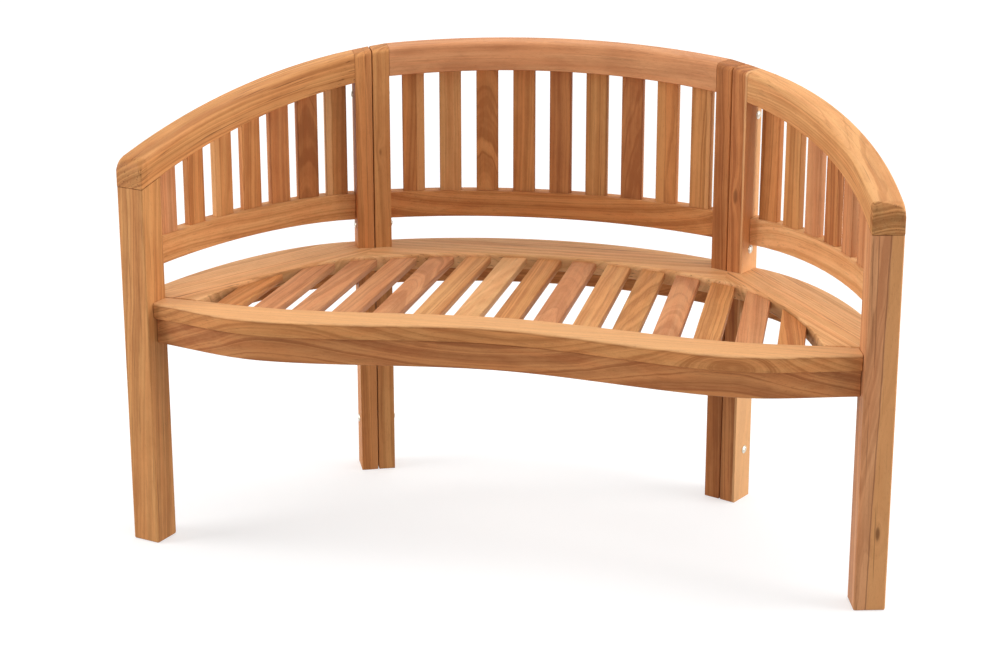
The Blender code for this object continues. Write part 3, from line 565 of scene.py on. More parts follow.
@dataclass(frozen=True)
class TeakSurface:
    """Rings, fibres, a lighter layer of sapwood and painted light, and end grain put together as one
    surface.

    Args:
        broad_depth: How far the broad bands darken the wood, from early to late wood.
        fine_depth: The same for the fine bands.
        late_depth: The same for the late wood lines.
        streak_depth: The same for the streaks.
        base_depth: How dark the wood is between them.
        blush_share: Strength of the rosy stripes.
        blush_dye: Colour that the rosy stripes are dyed with.
        sap_and_painted_light_share: How far the lighter layer hides the wood's own colour.
        pore_share: How dark the pores are.
        pale_end_dye: Colour that sawn early wood is dyed with.
        dark_end_dye: Colour that sawn late wood is dyed with.
        roughness: Roughness of the smooth wood.
        streak_roughness: What the streaks add to it.
        pore_roughness: What the pores add to it.
        end_roughness: What a sawn end adds to it.
        late_height: Height of the late wood lines.
        streak_height: Height of the streaks.
        pore_height: Height of the pores, which are below the surface.
    """

    broad_depth: float = 0.84
    fine_depth: float = 0.44
    late_depth: float = 0.50
    streak_depth: float = 0.28
    base_depth: float = 0.40
    blush_share: float = 0.70
    blush_dye: Colour = (1.0, 0.89, 0.84)
    sap_and_painted_light_share: float = 0.65
    pore_share: float = 0.22
    pale_end_dye: Colour = (0.82, 0.76, 0.66)
    dark_end_dye: Colour = (0.42, 0.35, 0.26)
    roughness: float = 0.50
    streak_roughness: float = 0.10
    pore_roughness: float = 0.12
    end_roughness: float = 0.14
    late_height: float = 0.35
    streak_height: float = 0.5
    pore_height: float = -0.8

    def make(self) -> bpy.types.NodeTree:
        """Makes the group.

        Returns:
            A group that puts out the colour, the roughness and the height.
        """
        masks = ("Late Wood", "Broad Band", "Fine Band", "Knot", "Streak", "Pore", "Mottle", "Blush")
        masks += ("Vein", "End", "SapwoodAndPaintedLight", "Sap And Painted Light Border")
        numbers = (*masks, "Figure", "Blotch", "Vein Share")
        inputs = dict.fromkeys(numbers, "Float") | dict.fromkeys(("Light", "Dark", "Sap And Painted Light Colour", "Resin"), "Color")
        outputs = {"Color": "Color", "Roughness": "Float", "Height": "Float"}
        group = EffectGroup("teak colour", inputs, outputs)
        graph = group.graph
        wood = graph.tint(self.depth(group), group.take("Light"), group.take("Dark"))
        blush = graph.math("MULTIPLY", group.take("Blush"), self.blush_share)
        wood = graph.tint(blush, wood, graph.dyed(wood, self.blush_dye))
        sapwood_and_painted_light = graph.math("MULTIPLY", group.take("SapwoodAndPaintedLight"), self.sap_and_painted_light_share)
        wood = graph.tint(sapwood_and_painted_light, wood, group.take("Sap And Painted Light Colour"))
        veins = graph.math("MULTIPLY", group.take("Vein"), group.take("Vein Share"))
        border = graph.math("MULTIPLY", group.take("Sap And Painted Light Border"), group.take("Vein Share"))
        pores = graph.math("MULTIPLY", group.take("Pore"), self.pore_share)
        for share in (graph.math("MAXIMUM", group.take("Knot"), veins), border, pores):
            wood = graph.tint(share, wood, group.take("Resin"))
        sawn_rings = graph.math("MAXIMUM", group.take("Broad Band"), group.take("Late Wood"))
        pale_end = graph.dyed(wood, self.pale_end_dye)
        ends = graph.tint(sawn_rings, pale_end, graph.dyed(wood, self.dark_end_dye))
        group.give("Color", graph.tint(group.take("End"), wood, ends))
        rough = graph.math("MULTIPLY_ADD", group.take("Streak"), self.streak_roughness, self.roughness)
        rough = graph.math("MULTIPLY_ADD", group.take("Pore"), self.pore_roughness, rough)
        group.give("Roughness", graph.math("MULTIPLY_ADD", group.take("End"), self.end_roughness, rough))
        height = graph.math("MULTIPLY", group.take("Streak"), self.streak_height)
        height = graph.math("MULTIPLY_ADD", group.take("Late Wood"), self.late_height, height)
        group.give("Height", graph.math("MULTIPLY_ADD", group.take("Pore"), self.pore_height, height))
        return group.tree

    def depth(self, group: EffectGroup) -> Socket:
        """Works out how dark the wood is.

        Args:
            group: The group of the surface.

        Returns:
            0 for early wood to 1 for late wood.
        """
        graph = group.graph
        broad_band = group.take("Broad Band")
        figure = graph.math("MULTIPLY_ADD", broad_band, self.broad_depth, -self.broad_depth / 2)
        figure = graph.math("SUBTRACT", figure, self.fine_depth / 2)
        figure = graph.math("MULTIPLY_ADD", group.take("Fine Band"), self.fine_depth, figure)
        figure = graph.math("MULTIPLY_ADD", group.take("Late Wood"), self.late_depth, figure)
        depth = graph.math("MULTIPLY_ADD", figure, group.take("Figure"), self.base_depth)
        depth = graph.math("SUBTRACT", depth, self.streak_depth / 2)
        depth = graph.math("MULTIPLY_ADD", group.take("Streak"), self.streak_depth, depth)
        cloud = graph.math("SUBTRACT", group.take("Mottle"), 0.5)
        return graph.math("MULTIPLY_ADD", cloud, group.take("Blotch"), depth, clamp=True)


class TeakEffects:
    """The node groups that all teak materials share."""

    def __init__(self) -> None:
        """Makes each group once."""
        self.rings = GrowthRings().make()
        self.fibres = Fibres().make()
        self.end_grain = EndGrain().make()
        self.sapwood_and_painted_light = SapwoodAndPaintedLight().make()
        self.surface = TeakSurface().make()


@dataclass(frozen=True)
class Timber:
    """One board's own piece of teak, whose lighter layer is sapwood and, on a few faces, painted light.
    Places in it are along, across and through the board.

    Args:
        tone: Its colour family.
        cut: How it was sawn from the log.
        seed: Picks its place in the log.
        lean: How far the heart drifts across and through the board, per metre along it.
        figure: Strength of the ring pattern.
        spacing: Distance between growth rings.
        blotch: Strength of the cloudy patches.
        veins: Strength of the dark mineral veins.
        knot: Place of a knot.
        knot_reach: Radius of the knot, across the board.
        knot_push: How far the knot pushes the rings aside.
        knot_darkness: How dark the knot is.
        sap_and_painted_light_border: Distance from the board's middle where a lighter layer starts, and 1
            for none.
        sap_side: Side of the layer.
        sap_and_painted_light_slope: How far the border drifts per metre along the board.
        sap_and_painted_light_tone: Colour family of the layer.
        end_shade: How much darker its sawn ends are.
    """

    tone: Tone
    cut: Cut
    seed: float
    lean: Span = (0.01, 0.02)
    figure: float = 1.0
    spacing: float = 0.0045
    blotch: float = 0.40
    veins: float = 0.25
    knot: Place = (0.0, 0.0, 0.0)
    knot_reach: float = 0.008
    knot_push: float = 0.0
    knot_darkness: float = 0.0
    sap_and_painted_light_border: float = 1.0
    sap_side: Layer = Layer.RIGHT
    sap_and_painted_light_slope: float = 0.0
    sap_and_painted_light_tone: Tone = Tone.PALE
    end_shade: float = 0.85


@dataclass(frozen=True)
class BoardAxes:
    """Directions of a board in the bench: along the grain, across its width and through it.

    Args:
        middle: Middle of the board.
        turn: The three directions, as the columns of a matrix.
        across_curve: How a curved board bends across, as the factors of a cubic.
        through_curve: How it bends through its other side.
    """

    middle: Vector
    turn: Matrix
    across_curve: Place = (0.0, 0.0, 0.0)
    through_curve: Place = (0.0, 0.0, 0.0)

    @property
    def is_bent(self) -> bool:
        """Whether the grain follows a curve."""
        return any((*self.across_curve, *self.through_curve))

    @classmethod
    def of(cls, node: str, follow: float = 0.0, square_share: float = 1.25) -> "BoardAxes":
        """Finds the principal directions of a node's surface.

        Args:
            node: Name of the CAD node.
            follow: How far the grain follows the node's curve, 0 for a straight grain.
            square_share: Width of a board, as a share of its thickness, under which it counts as square.

        Returns:
            The middle, the directions and the curve of the board.
        """
        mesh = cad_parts[node].data
        centres = np.array([face.center for face in mesh.polygons])
        areas = np.array([face.area for face in mesh.polygons])
        middle = np.average(centres, axis=0, weights=areas)
        offsets = centres - middle
        spread, directions = np.linalg.svd(offsets * np.sqrt(areas)[:, None], full_matrices=False)[1:]
        along = cls.upright(Vector(directions[0]))
        across = Vector(directions[1])
        if spread[1] < square_share * spread[2]:
            # A square post is as deep as it is wide, so its largest sideways face says which way is across.
            across = max(mesh.polygons, key=lambda face: abs(face.normal.x) * face.area).normal.copy()
            across -= along * across.dot(along)
        across = cls.upright(across.normalized())
        through = along.cross(across)
        reach = offsets @ np.array(along)
        curves = []
        for direction in (across, through):
            bend = offsets @ np.array(direction)
            factors = np.polyfit(reach, bend, deg=3, w=np.sqrt(areas)) * follow
            curves.append((float(factors[2]), float(factors[1]), float(factors[0])))
        return cls(Vector(middle), Matrix((along, across, through)).transposed(), *curves)

    @staticmethod
    def upright(direction: Vector) -> Vector:
        """The same direction with its largest part made positive."""
        largest = max(direction, key=abs)
        return direction if largest > 0 else -direction

    def wing(self, node: str, side: Side, start: float) -> "BoardAxes":
        """Finds the directions of the left or right piece of a board that is joined from three.

        Args:
            node: Name of the CAD node.
            side: Side of the piece.
            start: Distance of its joint from the middle of the bench.

        Returns:
            The middle and the directions of the piece.
        """
        corners = np.array([vert.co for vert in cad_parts[node].data.vertices])
        corners = corners[corners[:, 0] * side.sign > start]
        middle = corners.mean(axis=0)
        run = np.linalg.svd(corners[:, :2] - middle[:2], full_matrices=False)[2][0]
        run = run if run[0] > 0 else -run
        turn = Matrix.Rotation(math.atan2(run[1], run[0]), 3, "Z") @ self.turn
        return BoardAxes(Vector(middle), turn)


@dataclass(frozen=True)
class SawnEnd:
    """Where a board shows its sawn end.

    Args:
        axis: Direction that the end faces.
        start: Distance along the axis where the end starts.
        facing: How squarely a surface has to face along the axis.
    """

    axis: Place
    start: float = -10.0
    facing: float = 0.8


@dataclass(frozen=True)
class TeakFinish:
    """Fine-sanded, oiled teak.

    Args:
        effects: The node groups of the wood.
        fibre_length: Typical length of a streak.
        fibre_width: Typical width of a streak.
        waver: How far the rings wander from true circles.
        resin: Colour of pores, veins and knots.
        gloss: Specular level of the oiled wood.
        relief: Depth of the surface relief.
        relief_strength: Strength of that relief.
        joint_blend: Half the length over which the grain changes at a joint inside a board.
    """

    effects: TeakEffects
    fibre_length: float = 0.16
    fibre_width: float = 0.0040
    waver: float = 0.014
    resin: Colour = (0.150, 0.052, 0.018)
    gloss: float = 0.16
    relief: float = 0.00030
    relief_strength: float = 0.5
    joint_blend: float = 0.0005

    @staticmethod
    def place_in(graph: Graph, place: Source, axes: BoardAxes) -> Socket:
        """Turns places in the bench into places in a board.

        Args:
            graph: The nodes of the board's material.
            place: Places in the bench.
            axes: The board's directions.

        Returns:
            Places along, across and through the board.
        """
        turn = tuple(axes.turn.to_euler())
        inputs = {"Vector": place, "Location": tuple(axes.middle), "Rotation": turn}
        return graph.add("ShaderNodeMapping", inputs, vector_type="TEXTURE").outputs["Vector"]

    @staticmethod
    def straightened(graph: Graph, board: Source, axes: BoardAxes) -> Socket:
        """Straightens places in a curved rail, so that its grain follows the curve.

        Args:
            graph: The nodes of the rail's material.
            board: Places in the rail.
            axes: The rail's directions and curves.

        Returns:
            The places as they were before the rail was bent.
        """
        place = graph.parts(board)
        along, across, through = place["X"], place["Y"], place["Z"]
        square = graph.math("MULTIPLY", along, along)
        powers = graph.joined(along, square, graph.math("MULTIPLY", square, along))
        across_shift = graph.vector("DOT_PRODUCT", powers, axes.across_curve)
        through_shift = graph.vector("DOT_PRODUCT", powers, axes.through_curve)
        across = graph.math("SUBTRACT", across, across_shift)
        return graph.joined(along, across, graph.math("SUBTRACT", through, through_shift))

    def grain_place(
        self,
        graph: Graph,
        bench_place: Socket,
        axes: BoardAxes,
        wings: tuple[BoardAxes, ...],
        wing_start: float,
    ) -> Socket:
        """Works out places along the grain of a board.

        Args:
            graph: The nodes of the board's material.
            bench_place: Places in the bench.
            axes: The board's directions.
            wings: Directions of its left and right pieces, if it has such.
            wing_start: Distance from the middle of the bench where those pieces start.

        Returns:
            Places along, across and through the board.
        """
        board = self.place_in(graph, bench_place, axes)
        for side, wing in zip(Side, wings):
            outwards = graph.math("MULTIPLY", graph.parts(bench_place)["X"], float(side.sign))
            share = graph.ramp(outwards, (wing_start - self.joint_blend, wing_start + self.joint_blend))
            board = graph.mix(Mixing.VECTOR, share, board, self.place_in(graph, bench_place, wing))
        return self.straightened(graph, board, axes) if axes.is_bent else board

    def masks(self, graph: Graph, board: Socket, timber: Timber) -> dict[str, Source]:
        """Adds the rings, the fibres and the lighter layer of a board.

        Args:
            graph: The nodes of the board's material.
            board: Places along the grain.
            timber: The board's own wood.

        Returns:
            The masks by name.
        """
        shared = {"Vector": board, "Seed": timber.seed}
        rings = graph.group(
            self.effects.rings,
            shared
            | {
                "Heart": timber.cut.heart,
                "Lean": (0.0, *timber.lean),
                "Spacing": timber.spacing,
                "Waver": self.waver,
                "Knot": timber.knot,
                "Knot Reach": timber.knot_reach,
                "Knot Push": timber.knot_push,
                "Knot Darkness": timber.knot_darkness,
            },
        )
        sizes = {"Length": self.fibre_length, "Width": self.fibre_width}
        fibres = graph.group(self.effects.fibres, shared | sizes)
        layer = {"Border": timber.sap_and_painted_light_border, "Direction": (timber.sap_and_painted_light_slope, *timber.sap_side.value)}
        sapwood_and_painted_light = graph.group(self.effects.sapwood_and_painted_light, shared | layer)
        return {output.name: output for part in (rings, fibres, sapwood_and_painted_light) for output in part.outputs}

    def material(
        self,
        name: str,
        timber: Timber,
        axes: BoardAxes,
        end: SawnEnd,
        wings: tuple[BoardAxes, ...] = (),
        wing_start: float = 0.0,
    ) -> bpy.types.Material:
        """Makes the material of one board.

        Args:
            name: Name of the material.
            timber: The board's own wood.
            axes: The board's directions.
            end: Where it shows its sawn end.
            wings: Directions of the left and right pieces that a long curved board is joined from.
            wing_start: Distance from the middle of the bench where those pieces start.

        Returns:
            The material.
        """
        made = bpy.data.materials.new(name)
        made.use_nodes = True
        graph = Graph(made.node_tree)
        shader = made.node_tree.nodes["Principled BSDF"]
        surface = graph.add("ShaderNodeTexCoord").outputs
        board = self.grain_place(graph, surface["Object"], axes, wings, wing_start)
        ends = graph.group(
            self.effects.end_grain,
            {
                "Normal": surface["Normal"],
                "Place": surface["Object"],
                "Axis": end.axis,
                "Start": end.start,
                "Facing": end.facing,
                "Strength": timber.end_shade,
            },
        )
        finish = graph.group(
            self.effects.surface,
            self.masks(graph, board, timber)
            | {
                "End": ends.outputs["End"],
                "Light": opaque(timber.tone.light),
                "Dark": opaque(timber.tone.dark),
                "Sap And Painted Light Colour": opaque(timber.sap_and_painted_light_tone.light),
                "Resin": opaque(self.resin),
                "Figure": timber.figure,
                "Blotch": timber.blotch,
                "Vein Share": timber.veins,
            },
        )
        graph.feed(shader.inputs["Base Color"], finish.outputs["Color"])
        graph.feed(shader.inputs["Roughness"], finish.outputs["Roughness"])
        shader.inputs["Specular IOR Level"].default_value = self.gloss
        height = finish.outputs["Height"]
        relief = {"Strength": self.relief_strength, "Distance": self.relief, "Height": height}
        graph.feed(shader.inputs["Normal"], graph.add("ShaderNodeBump", relief).outputs["Normal"])
        return made


@dataclass(frozen=True)
class PlatedFinish:
    """Dull zinc plating on the bolts.

    Args:
        colour: Colour of the clean plating.
        tarnish: Colour of the dull patches.
        patch_rate: Noise steps of the patches per metre.
        patch_span: Part of that noise that makes the patches.
        roughness: Roughness of the clean plating.
        patch_roughness: What the dull patches add to it.
        grain_rate: Noise steps of the fine relief per metre.
        relief: Depth of that relief.
        relief_strength: Strength of that relief.
    """

    colour: Colour = (0.78, 0.75, 0.66)
    tarnish: Colour = (0.52, 0.47, 0.38)
    patch_rate: float = 260.0
    patch_span: Span = (0.35, 0.7)
    roughness: float = 0.30
    patch_roughness: float = 0.22
    grain_rate: float = 2200.0
    relief: float = 0.0001
    relief_strength: float = 0.35

    def material(self, name: str, middle: Vector) -> bpy.types.Material:
        """Makes the material of one bolt.

        Args:
            name: Name of the material.
            middle: Middle of the bolt, where its pattern is centred.

        Returns:
            The material.
        """
        made = bpy.data.materials.new(name)
        made.use_nodes = True
        graph = Graph(made.node_tree)
        shader = made.node_tree.nodes["Principled BSDF"]
        inputs = {"Vector": graph.add("ShaderNodeTexCoord").outputs["Object"], "Location": tuple(middle)}
        place = graph.add("ShaderNodeMapping", inputs, vector_type="TEXTURE").outputs["Vector"]
        clouds = graph.noise(graph.vector("MULTIPLY", place, evenly(self.patch_rate)), detail=3.0)
        patches = graph.ramp(clouds, self.patch_span)
        grains = graph.noise(graph.vector("MULTIPLY", place, evenly(self.grain_rate)), detail=2.0)
        plating = graph.tint(patches, opaque(self.colour), opaque(self.tarnish))
        graph.feed(shader.inputs["Base Color"], plating)
        rough = graph.math("MULTIPLY_ADD", patches, self.patch_roughness, self.roughness)
        graph.feed(shader.inputs["Roughness"], rough)
        shader.inputs["Metallic"].default_value = 1.0
        relief = {"Strength": self.relief_strength, "Distance": self.relief, "Height": grains}
        graph.feed(shader.inputs["Normal"], graph.add("ShaderNodeBump", relief).outputs["Normal"])
        return made


class SurfaceShading:
    """Modifiers that join a CAD node's loose faces and shade its curved faces smoothly.

    Args:
        merge_distance: Distance under which corners are joined.
        crease_angle: Angle between faces above which an edge stays sharp.
        flat_weight: How strongly large flat faces keep their own shading.
    """

    def __init__(
        self,
        merge_distance: float = 0.00001,
        crease_angle: float = math.radians(52),
        flat_weight: int = 100,
    ) -> None:
        """Keeps the distance and the weight, and makes the nodes that smooth by angle."""
        self.merge_distance = merge_distance
        self.flat_weight = flat_weight
        self.smoothing = self.make_smoothing(crease_angle)

    @staticmethod
    def make_smoothing(crease_angle: float) -> bpy.types.NodeTree:
        """Geometry nodes that mark edges sharp by angle and shade the rest smoothly.

        Args:
            crease_angle: Angle above which an edge stays sharp.

        Returns:
            The node tree.
        """
        tree = bpy.data.node_groups.new("smooth by angle", "GeometryNodeTree")
        for in_out in ("INPUT", "OUTPUT"):
            tree.interface.new_socket("Geometry", in_out=in_out, socket_type="NodeSocketGeometry")
        graph = Graph(tree)
        source = graph.add("NodeGroupInput")
        angle = graph.add("GeometryNodeInputMeshEdgeAngle").outputs["Unsigned Angle"]
        is_soft = graph.add("FunctionNodeCompare", {0: angle, 1: crease_angle}, operation="LESS_THAN")
        edges = graph.add("GeometryNodeSetShadeSmooth", {"Geometry": source.outputs[0]}, domain="EDGE")
        graph.feed(edges.inputs["Shade Smooth"], is_soft.outputs[0])
        smooth = {"Geometry": edges.outputs[0], "Shade Smooth": True}
        faces = graph.add("GeometryNodeSetShadeSmooth", smooth, domain="FACE")
        graph.feed(graph.add("NodeGroupOutput").inputs[0], faces.outputs[0])
        return tree

    def apply(self, piece: bpy.types.Object) -> None:
        """Adds the modifiers to one node.

        Args:
            piece: The node's object.
        """
        weld = piece.modifiers.new("joined_faces", "WELD")
        weld.merge_threshold = self.merge_distance
        smooth = piece.modifiers.new("smooth_curves", "NODES")
        smooth.node_group = self.smoothing
        normals = piece.modifiers.new("flat_faces_stay_flat", "WEIGHTED_NORMAL")
        normals.mode = "FACE_AREA"
        normals.weight = self.flat_weight
        normals.keep_sharp = True


@dataclass(frozen=True)
class Workshop:
    """What every sub-assembly is finished with.

    Args:
        teak: Finish of the boards.
        plating: Finish of the bolts.
        shading: How the boards' faces are joined and shaded.
    """

    teak: TeakFinish
    plating: PlatedFinish
    shading: SurfaceShading

    def dress(
        self,
        node: str,
        timber: Timber,
        end: SawnEnd | None = None,
        follow: float = 0.0,
        wing_start: float = 0.0,
    ) -> None:
        """Gives a wooden CAD node its shading and its own piece of teak.

        Args:
            node: Name of the CAD node.
            timber: The board's own wood.
            end: Where it shows its sawn end, None for its two ends.
            follow: How far the grain follows the node's curve.
            wing_start: Distance from the middle of the bench to the joints of a board of three pieces.
        """
        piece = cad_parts[node]
        self.shading.apply(piece)
        axes = BoardAxes.of(node, follow)
        wings = ()
        if wing_start:
            wings = tuple(axes.wing(node, side, wing_start) for side in Side)
        sawn = end or SawnEnd(tuple(axes.turn.col[0]))
        finish = self.teak.material("teak_" + node, timber, axes, sawn, wings, wing_start)
        for slot in piece.material_slots:
            slot.material = finish
        LOG.info("%s: %s, %s cut", node, timber.tone.name.lower(), timber.cut.name.lower())


@dataclass(frozen=True)
class BackPanel:
    """A panel of the back: its three rails and its slats.

    Args:
        prefix: Start of its nodes' names.
        suffix: End of its nodes' names, before a slat's number.
        top: Wood of the top rail.
        lower: Wood of the lower rail.
        seat: Wood of the seat rail.
        slats: Wood of each slat.
        top_end: Where the top rail shows its sawn end.
        top_follow: How far the grain of the top rail follows its curve.
    """

    prefix: str
    suffix: str
    top: Timber
    lower: Timber
    seat: Timber
    slats: tuple[Timber, ...]
    top_end: SawnEnd | None = None
    top_follow: float = 1.0

    def build(self, shop: Workshop) -> None:
        """Dresses the rails and the slats.

        Args:
            shop: Gives the finishes.
        """
        shop.dress(f"{self.prefix}_top_rail{self.suffix}", self.top, self.top_end, self.top_follow)
        for rail, timber in (("lower", self.lower), ("seat", self.seat)):
            shop.dress(f"{self.prefix}_{rail}_rail{self.suffix}", timber)
        for number, timber in enumerate(self.slats, 1):
            shop.dress(f"{self.prefix}_back_slat{self.suffix}_{number}", timber)


@dataclass(frozen=True)
class CoachBolt:
    """A bolt through a pair of posts: washer, domed head, shank, and a cap nut at the far end.

    Args:
        name: Name of the piece.
        nut_face: Point where the bolt's axis leaves the centre post.
        head_face: Point where it leaves the side post.
        replaces: CAD node that it stands for, None for an added bolt.
        shank_radius: Radius of the shank.
        washer_radius: Radius of both washers.
        washer_thickness: Thickness of both washers.
        washer_edge: Size of the outer washer's rounded edge.
        head_radius: Radius of the domed head.
        head_height: Height of the domed head.
        head_angles: Steps of the dome, in degrees.
        socket_radius: Radius of the hole in the head.
        socket_depth: Depth of that hole.
        socket_edge: Width of that hole's rounded edge.
        socket_edge_shares: Height of that edge's outer and inner side, as shares of the head's.
        nut_radius: Distance of the nut's corners from the axis.
        nut_height: Height of the nut with its cap.
        nut_body_share: Height of its six-sided body, as a share of that.
        nut_edge_share: Size of the body's rounded edges, as a share of the nut's radius.
        cap_radius_share: Radius of its cap, as a share of the nut's.
        cap_angles: Steps of the cap, in degrees.
        clearance: Gap between the washers and the posts.
        seam: Gap between the bolt's own parts.
        merge_share: Distance under which corners are joined, as a share of that gap.
        turn_steps: Steps of each turned part.
        crease_angle: Angle in degrees above which an edge stays sharp.
    """

    name: str
    nut_face: Vector
    head_face: Vector
    replaces: str | None = None
    shank_radius: float = 0.0038
    washer_radius: float = 0.0075
    washer_thickness: float = 0.0010
    washer_edge: float = 0.0002
    head_radius: float = 0.0062
    head_height: float = 0.0021
    head_angles: tuple[float, ...] = (0, 18, 36, 52)
    socket_radius: float = 0.0021
    socket_depth: float = 0.0012
    socket_edge: float = 0.0004
    socket_edge_shares: Span = (0.92, 0.90)
    nut_radius: float = 0.0062
    nut_height: float = 0.0046
    nut_body_share: float = 0.62
    nut_edge_share: float = 0.08
    cap_radius_share: float = 0.72
    cap_angles: tuple[float, ...] = (0, 25, 50, 75)
    clearance: float = 0.0002
    seam: float = 0.00001
    merge_share: float = 0.1
    turn_steps: int = 32
    crease_angle: float = 35.0

    @staticmethod
    def dome(start: float, height: float, radius: float, angles: tuple[float, ...]) -> list[Span]:
        """Works out the profile of a domed end.

        Args:
            start: Position where it starts.
            height: Its height, below 0 for a dome that faces the other way.
            radius: Its radius.
            angles: Its steps, in degrees.

        Returns:
            Pairs of position and radius.
        """
        steps = [math.radians(angle) for angle in angles]
        return [(start + height * math.sin(step), radius * math.cos(step)) for step in steps]

    def turned(self, shape: bmesh.types.BMesh, profile: list[Span]) -> None:
        """Spins a profile round the local X axis into a closed body.

        Args:
            shape: The mesh that the body is added to.
            profile: Pairs of position and radius, from axis to axis.
        """
        verts = [shape.verts.new((position, radius, 0.0)) for position, radius in profile]
        edges = [shape.edges.new(pair) for pair in zip(verts, verts[1:])]
        bmesh.ops.spin(
            shape,
            geom=verts + edges,
            cent=(0.0, 0.0, 0.0),
            axis=(1.0, 0.0, 0.0),
            angle=math.tau,
            steps=self.turn_steps,
            use_merge=True,
        )
        bmesh.ops.remove_doubles(shape, verts=shape.verts, dist=self.seam * self.merge_share)

    def hexagon(self, shape: bmesh.types.BMesh, start: float, end: float) -> None:
        """Adds the six-sided body of the nut between two positions, with bevelled edges.

        Args:
            shape: The mesh that the body is added to.
            start: Position of its first face.
            end: Position of its second face.
        """
        place = Matrix.Translation(((start + end) / 2, 0.0, 0.0)) @ Matrix.Rotation(math.pi / 2, 4, "Y")
        made = bmesh.ops.create_cone(
            shape,
            cap_ends=True,
            segments=6,
            radius1=self.nut_radius,
            radius2=self.nut_radius,
            depth=abs(end - start),
            matrix=place,
        )
        edges = {edge for vert in made["verts"] for edge in vert.link_edges}
        bmesh.ops.bevel(
            shape,
            geom=list(edges),
            offset=self.nut_radius * self.nut_edge_share,
            affect="EDGES",
            segments=2,
            profile=0.5,
            material=-1,
        )

    def add_head(self, shape: bmesh.types.BMesh, reach: float) -> None:
        """Adds the shank, the outer washer and the head in one body.

        Args:
            shape: The mesh of the bolt.
            reach: Distance between the posts' faces.
        """
        seat = reach + self.clearance
        top = seat + self.washer_thickness
        rim = self.washer_radius - self.washer_edge
        outer_share, inner_share = self.socket_edge_shares
        floor = top + self.head_height - self.socket_depth
        profile = [
            (-self.clearance, 0.0),
            (-self.clearance, self.shank_radius),
            (seat, self.shank_radius),
            (seat, rim),
            (seat + self.washer_edge, self.washer_radius),
            (top - self.washer_edge, self.washer_radius),
            (top, rim),
            *self.dome(top, self.head_height, self.head_radius, self.head_angles),
            (top + self.head_height * outer_share, self.socket_radius + self.socket_edge),
            (top + self.head_height * inner_share, self.socket_radius),
            (floor, self.socket_radius),
            (floor, 0.0),
        ]
        self.turned(shape, profile)

    def add_nut(self, shape: bmesh.types.BMesh) -> None:
        """Adds the inner washer, the nut and its cap.

        Args:
            shape: The mesh of the bolt.
        """
        near = -self.clearance - self.seam
        far = -self.clearance - self.washer_thickness
        washer = [(near, 0.0), (near, self.washer_radius), (far, self.washer_radius), (far, 0.0)]
        self.turned(shape, washer)
        body_end = far - self.nut_height * self.nut_body_share
        self.hexagon(shape, far - self.seam, body_end)
        cap_start = body_end - self.seam
        cap_height = -self.nut_height * (1 - self.nut_body_share)
        cap = self.dome(cap_start, cap_height, self.nut_radius * self.cap_radius_share, self.cap_angles)
        self.turned(shape, [(cap_start, 0.0), *cap, (cap_start + cap_height, 0.0)])

    def build(self, shop: Workshop) -> bpy.types.Object:
        """Builds the bolt and puts it in its hole.

        Args:
            shop: Gives the plating.

        Returns:
            The bolt.
        """
        axis = self.head_face - self.nut_face
        shape = bmesh.new()
        self.add_head(shape, axis.length)
        self.add_nut(shape)
        turn = axis.normalized().to_track_quat("X", "Z").to_matrix().to_4x4()
        bmesh.ops.transform(shape, matrix=Matrix.Translation(self.nut_face) @ turn, verts=shape.verts)
        bmesh.ops.recalc_face_normals(shape, faces=shape.faces)
        mesh = bpy.data.meshes.new(self.name)
        shape.to_mesh(mesh)
        shape.free()
        mesh.shade_smooth()
        mesh.set_sharp_from_angle(angle=math.radians(self.crease_angle))
        bolt = bpy.data.objects.new(self.name, mesh)
        bpy.context.scene.collection.objects.link(bolt)
        middle = (self.head_face + self.nut_face) / 2
        mesh.materials.append(shop.plating.material("plating_" + self.name, middle))
        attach(bolt, ROOT)
        if self.replaces:
            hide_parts(self.replaces)
        LOG.info("%s: plated bolt, %.0f mm between the posts' faces", self.name, axis.length * 1000)
        return bolt


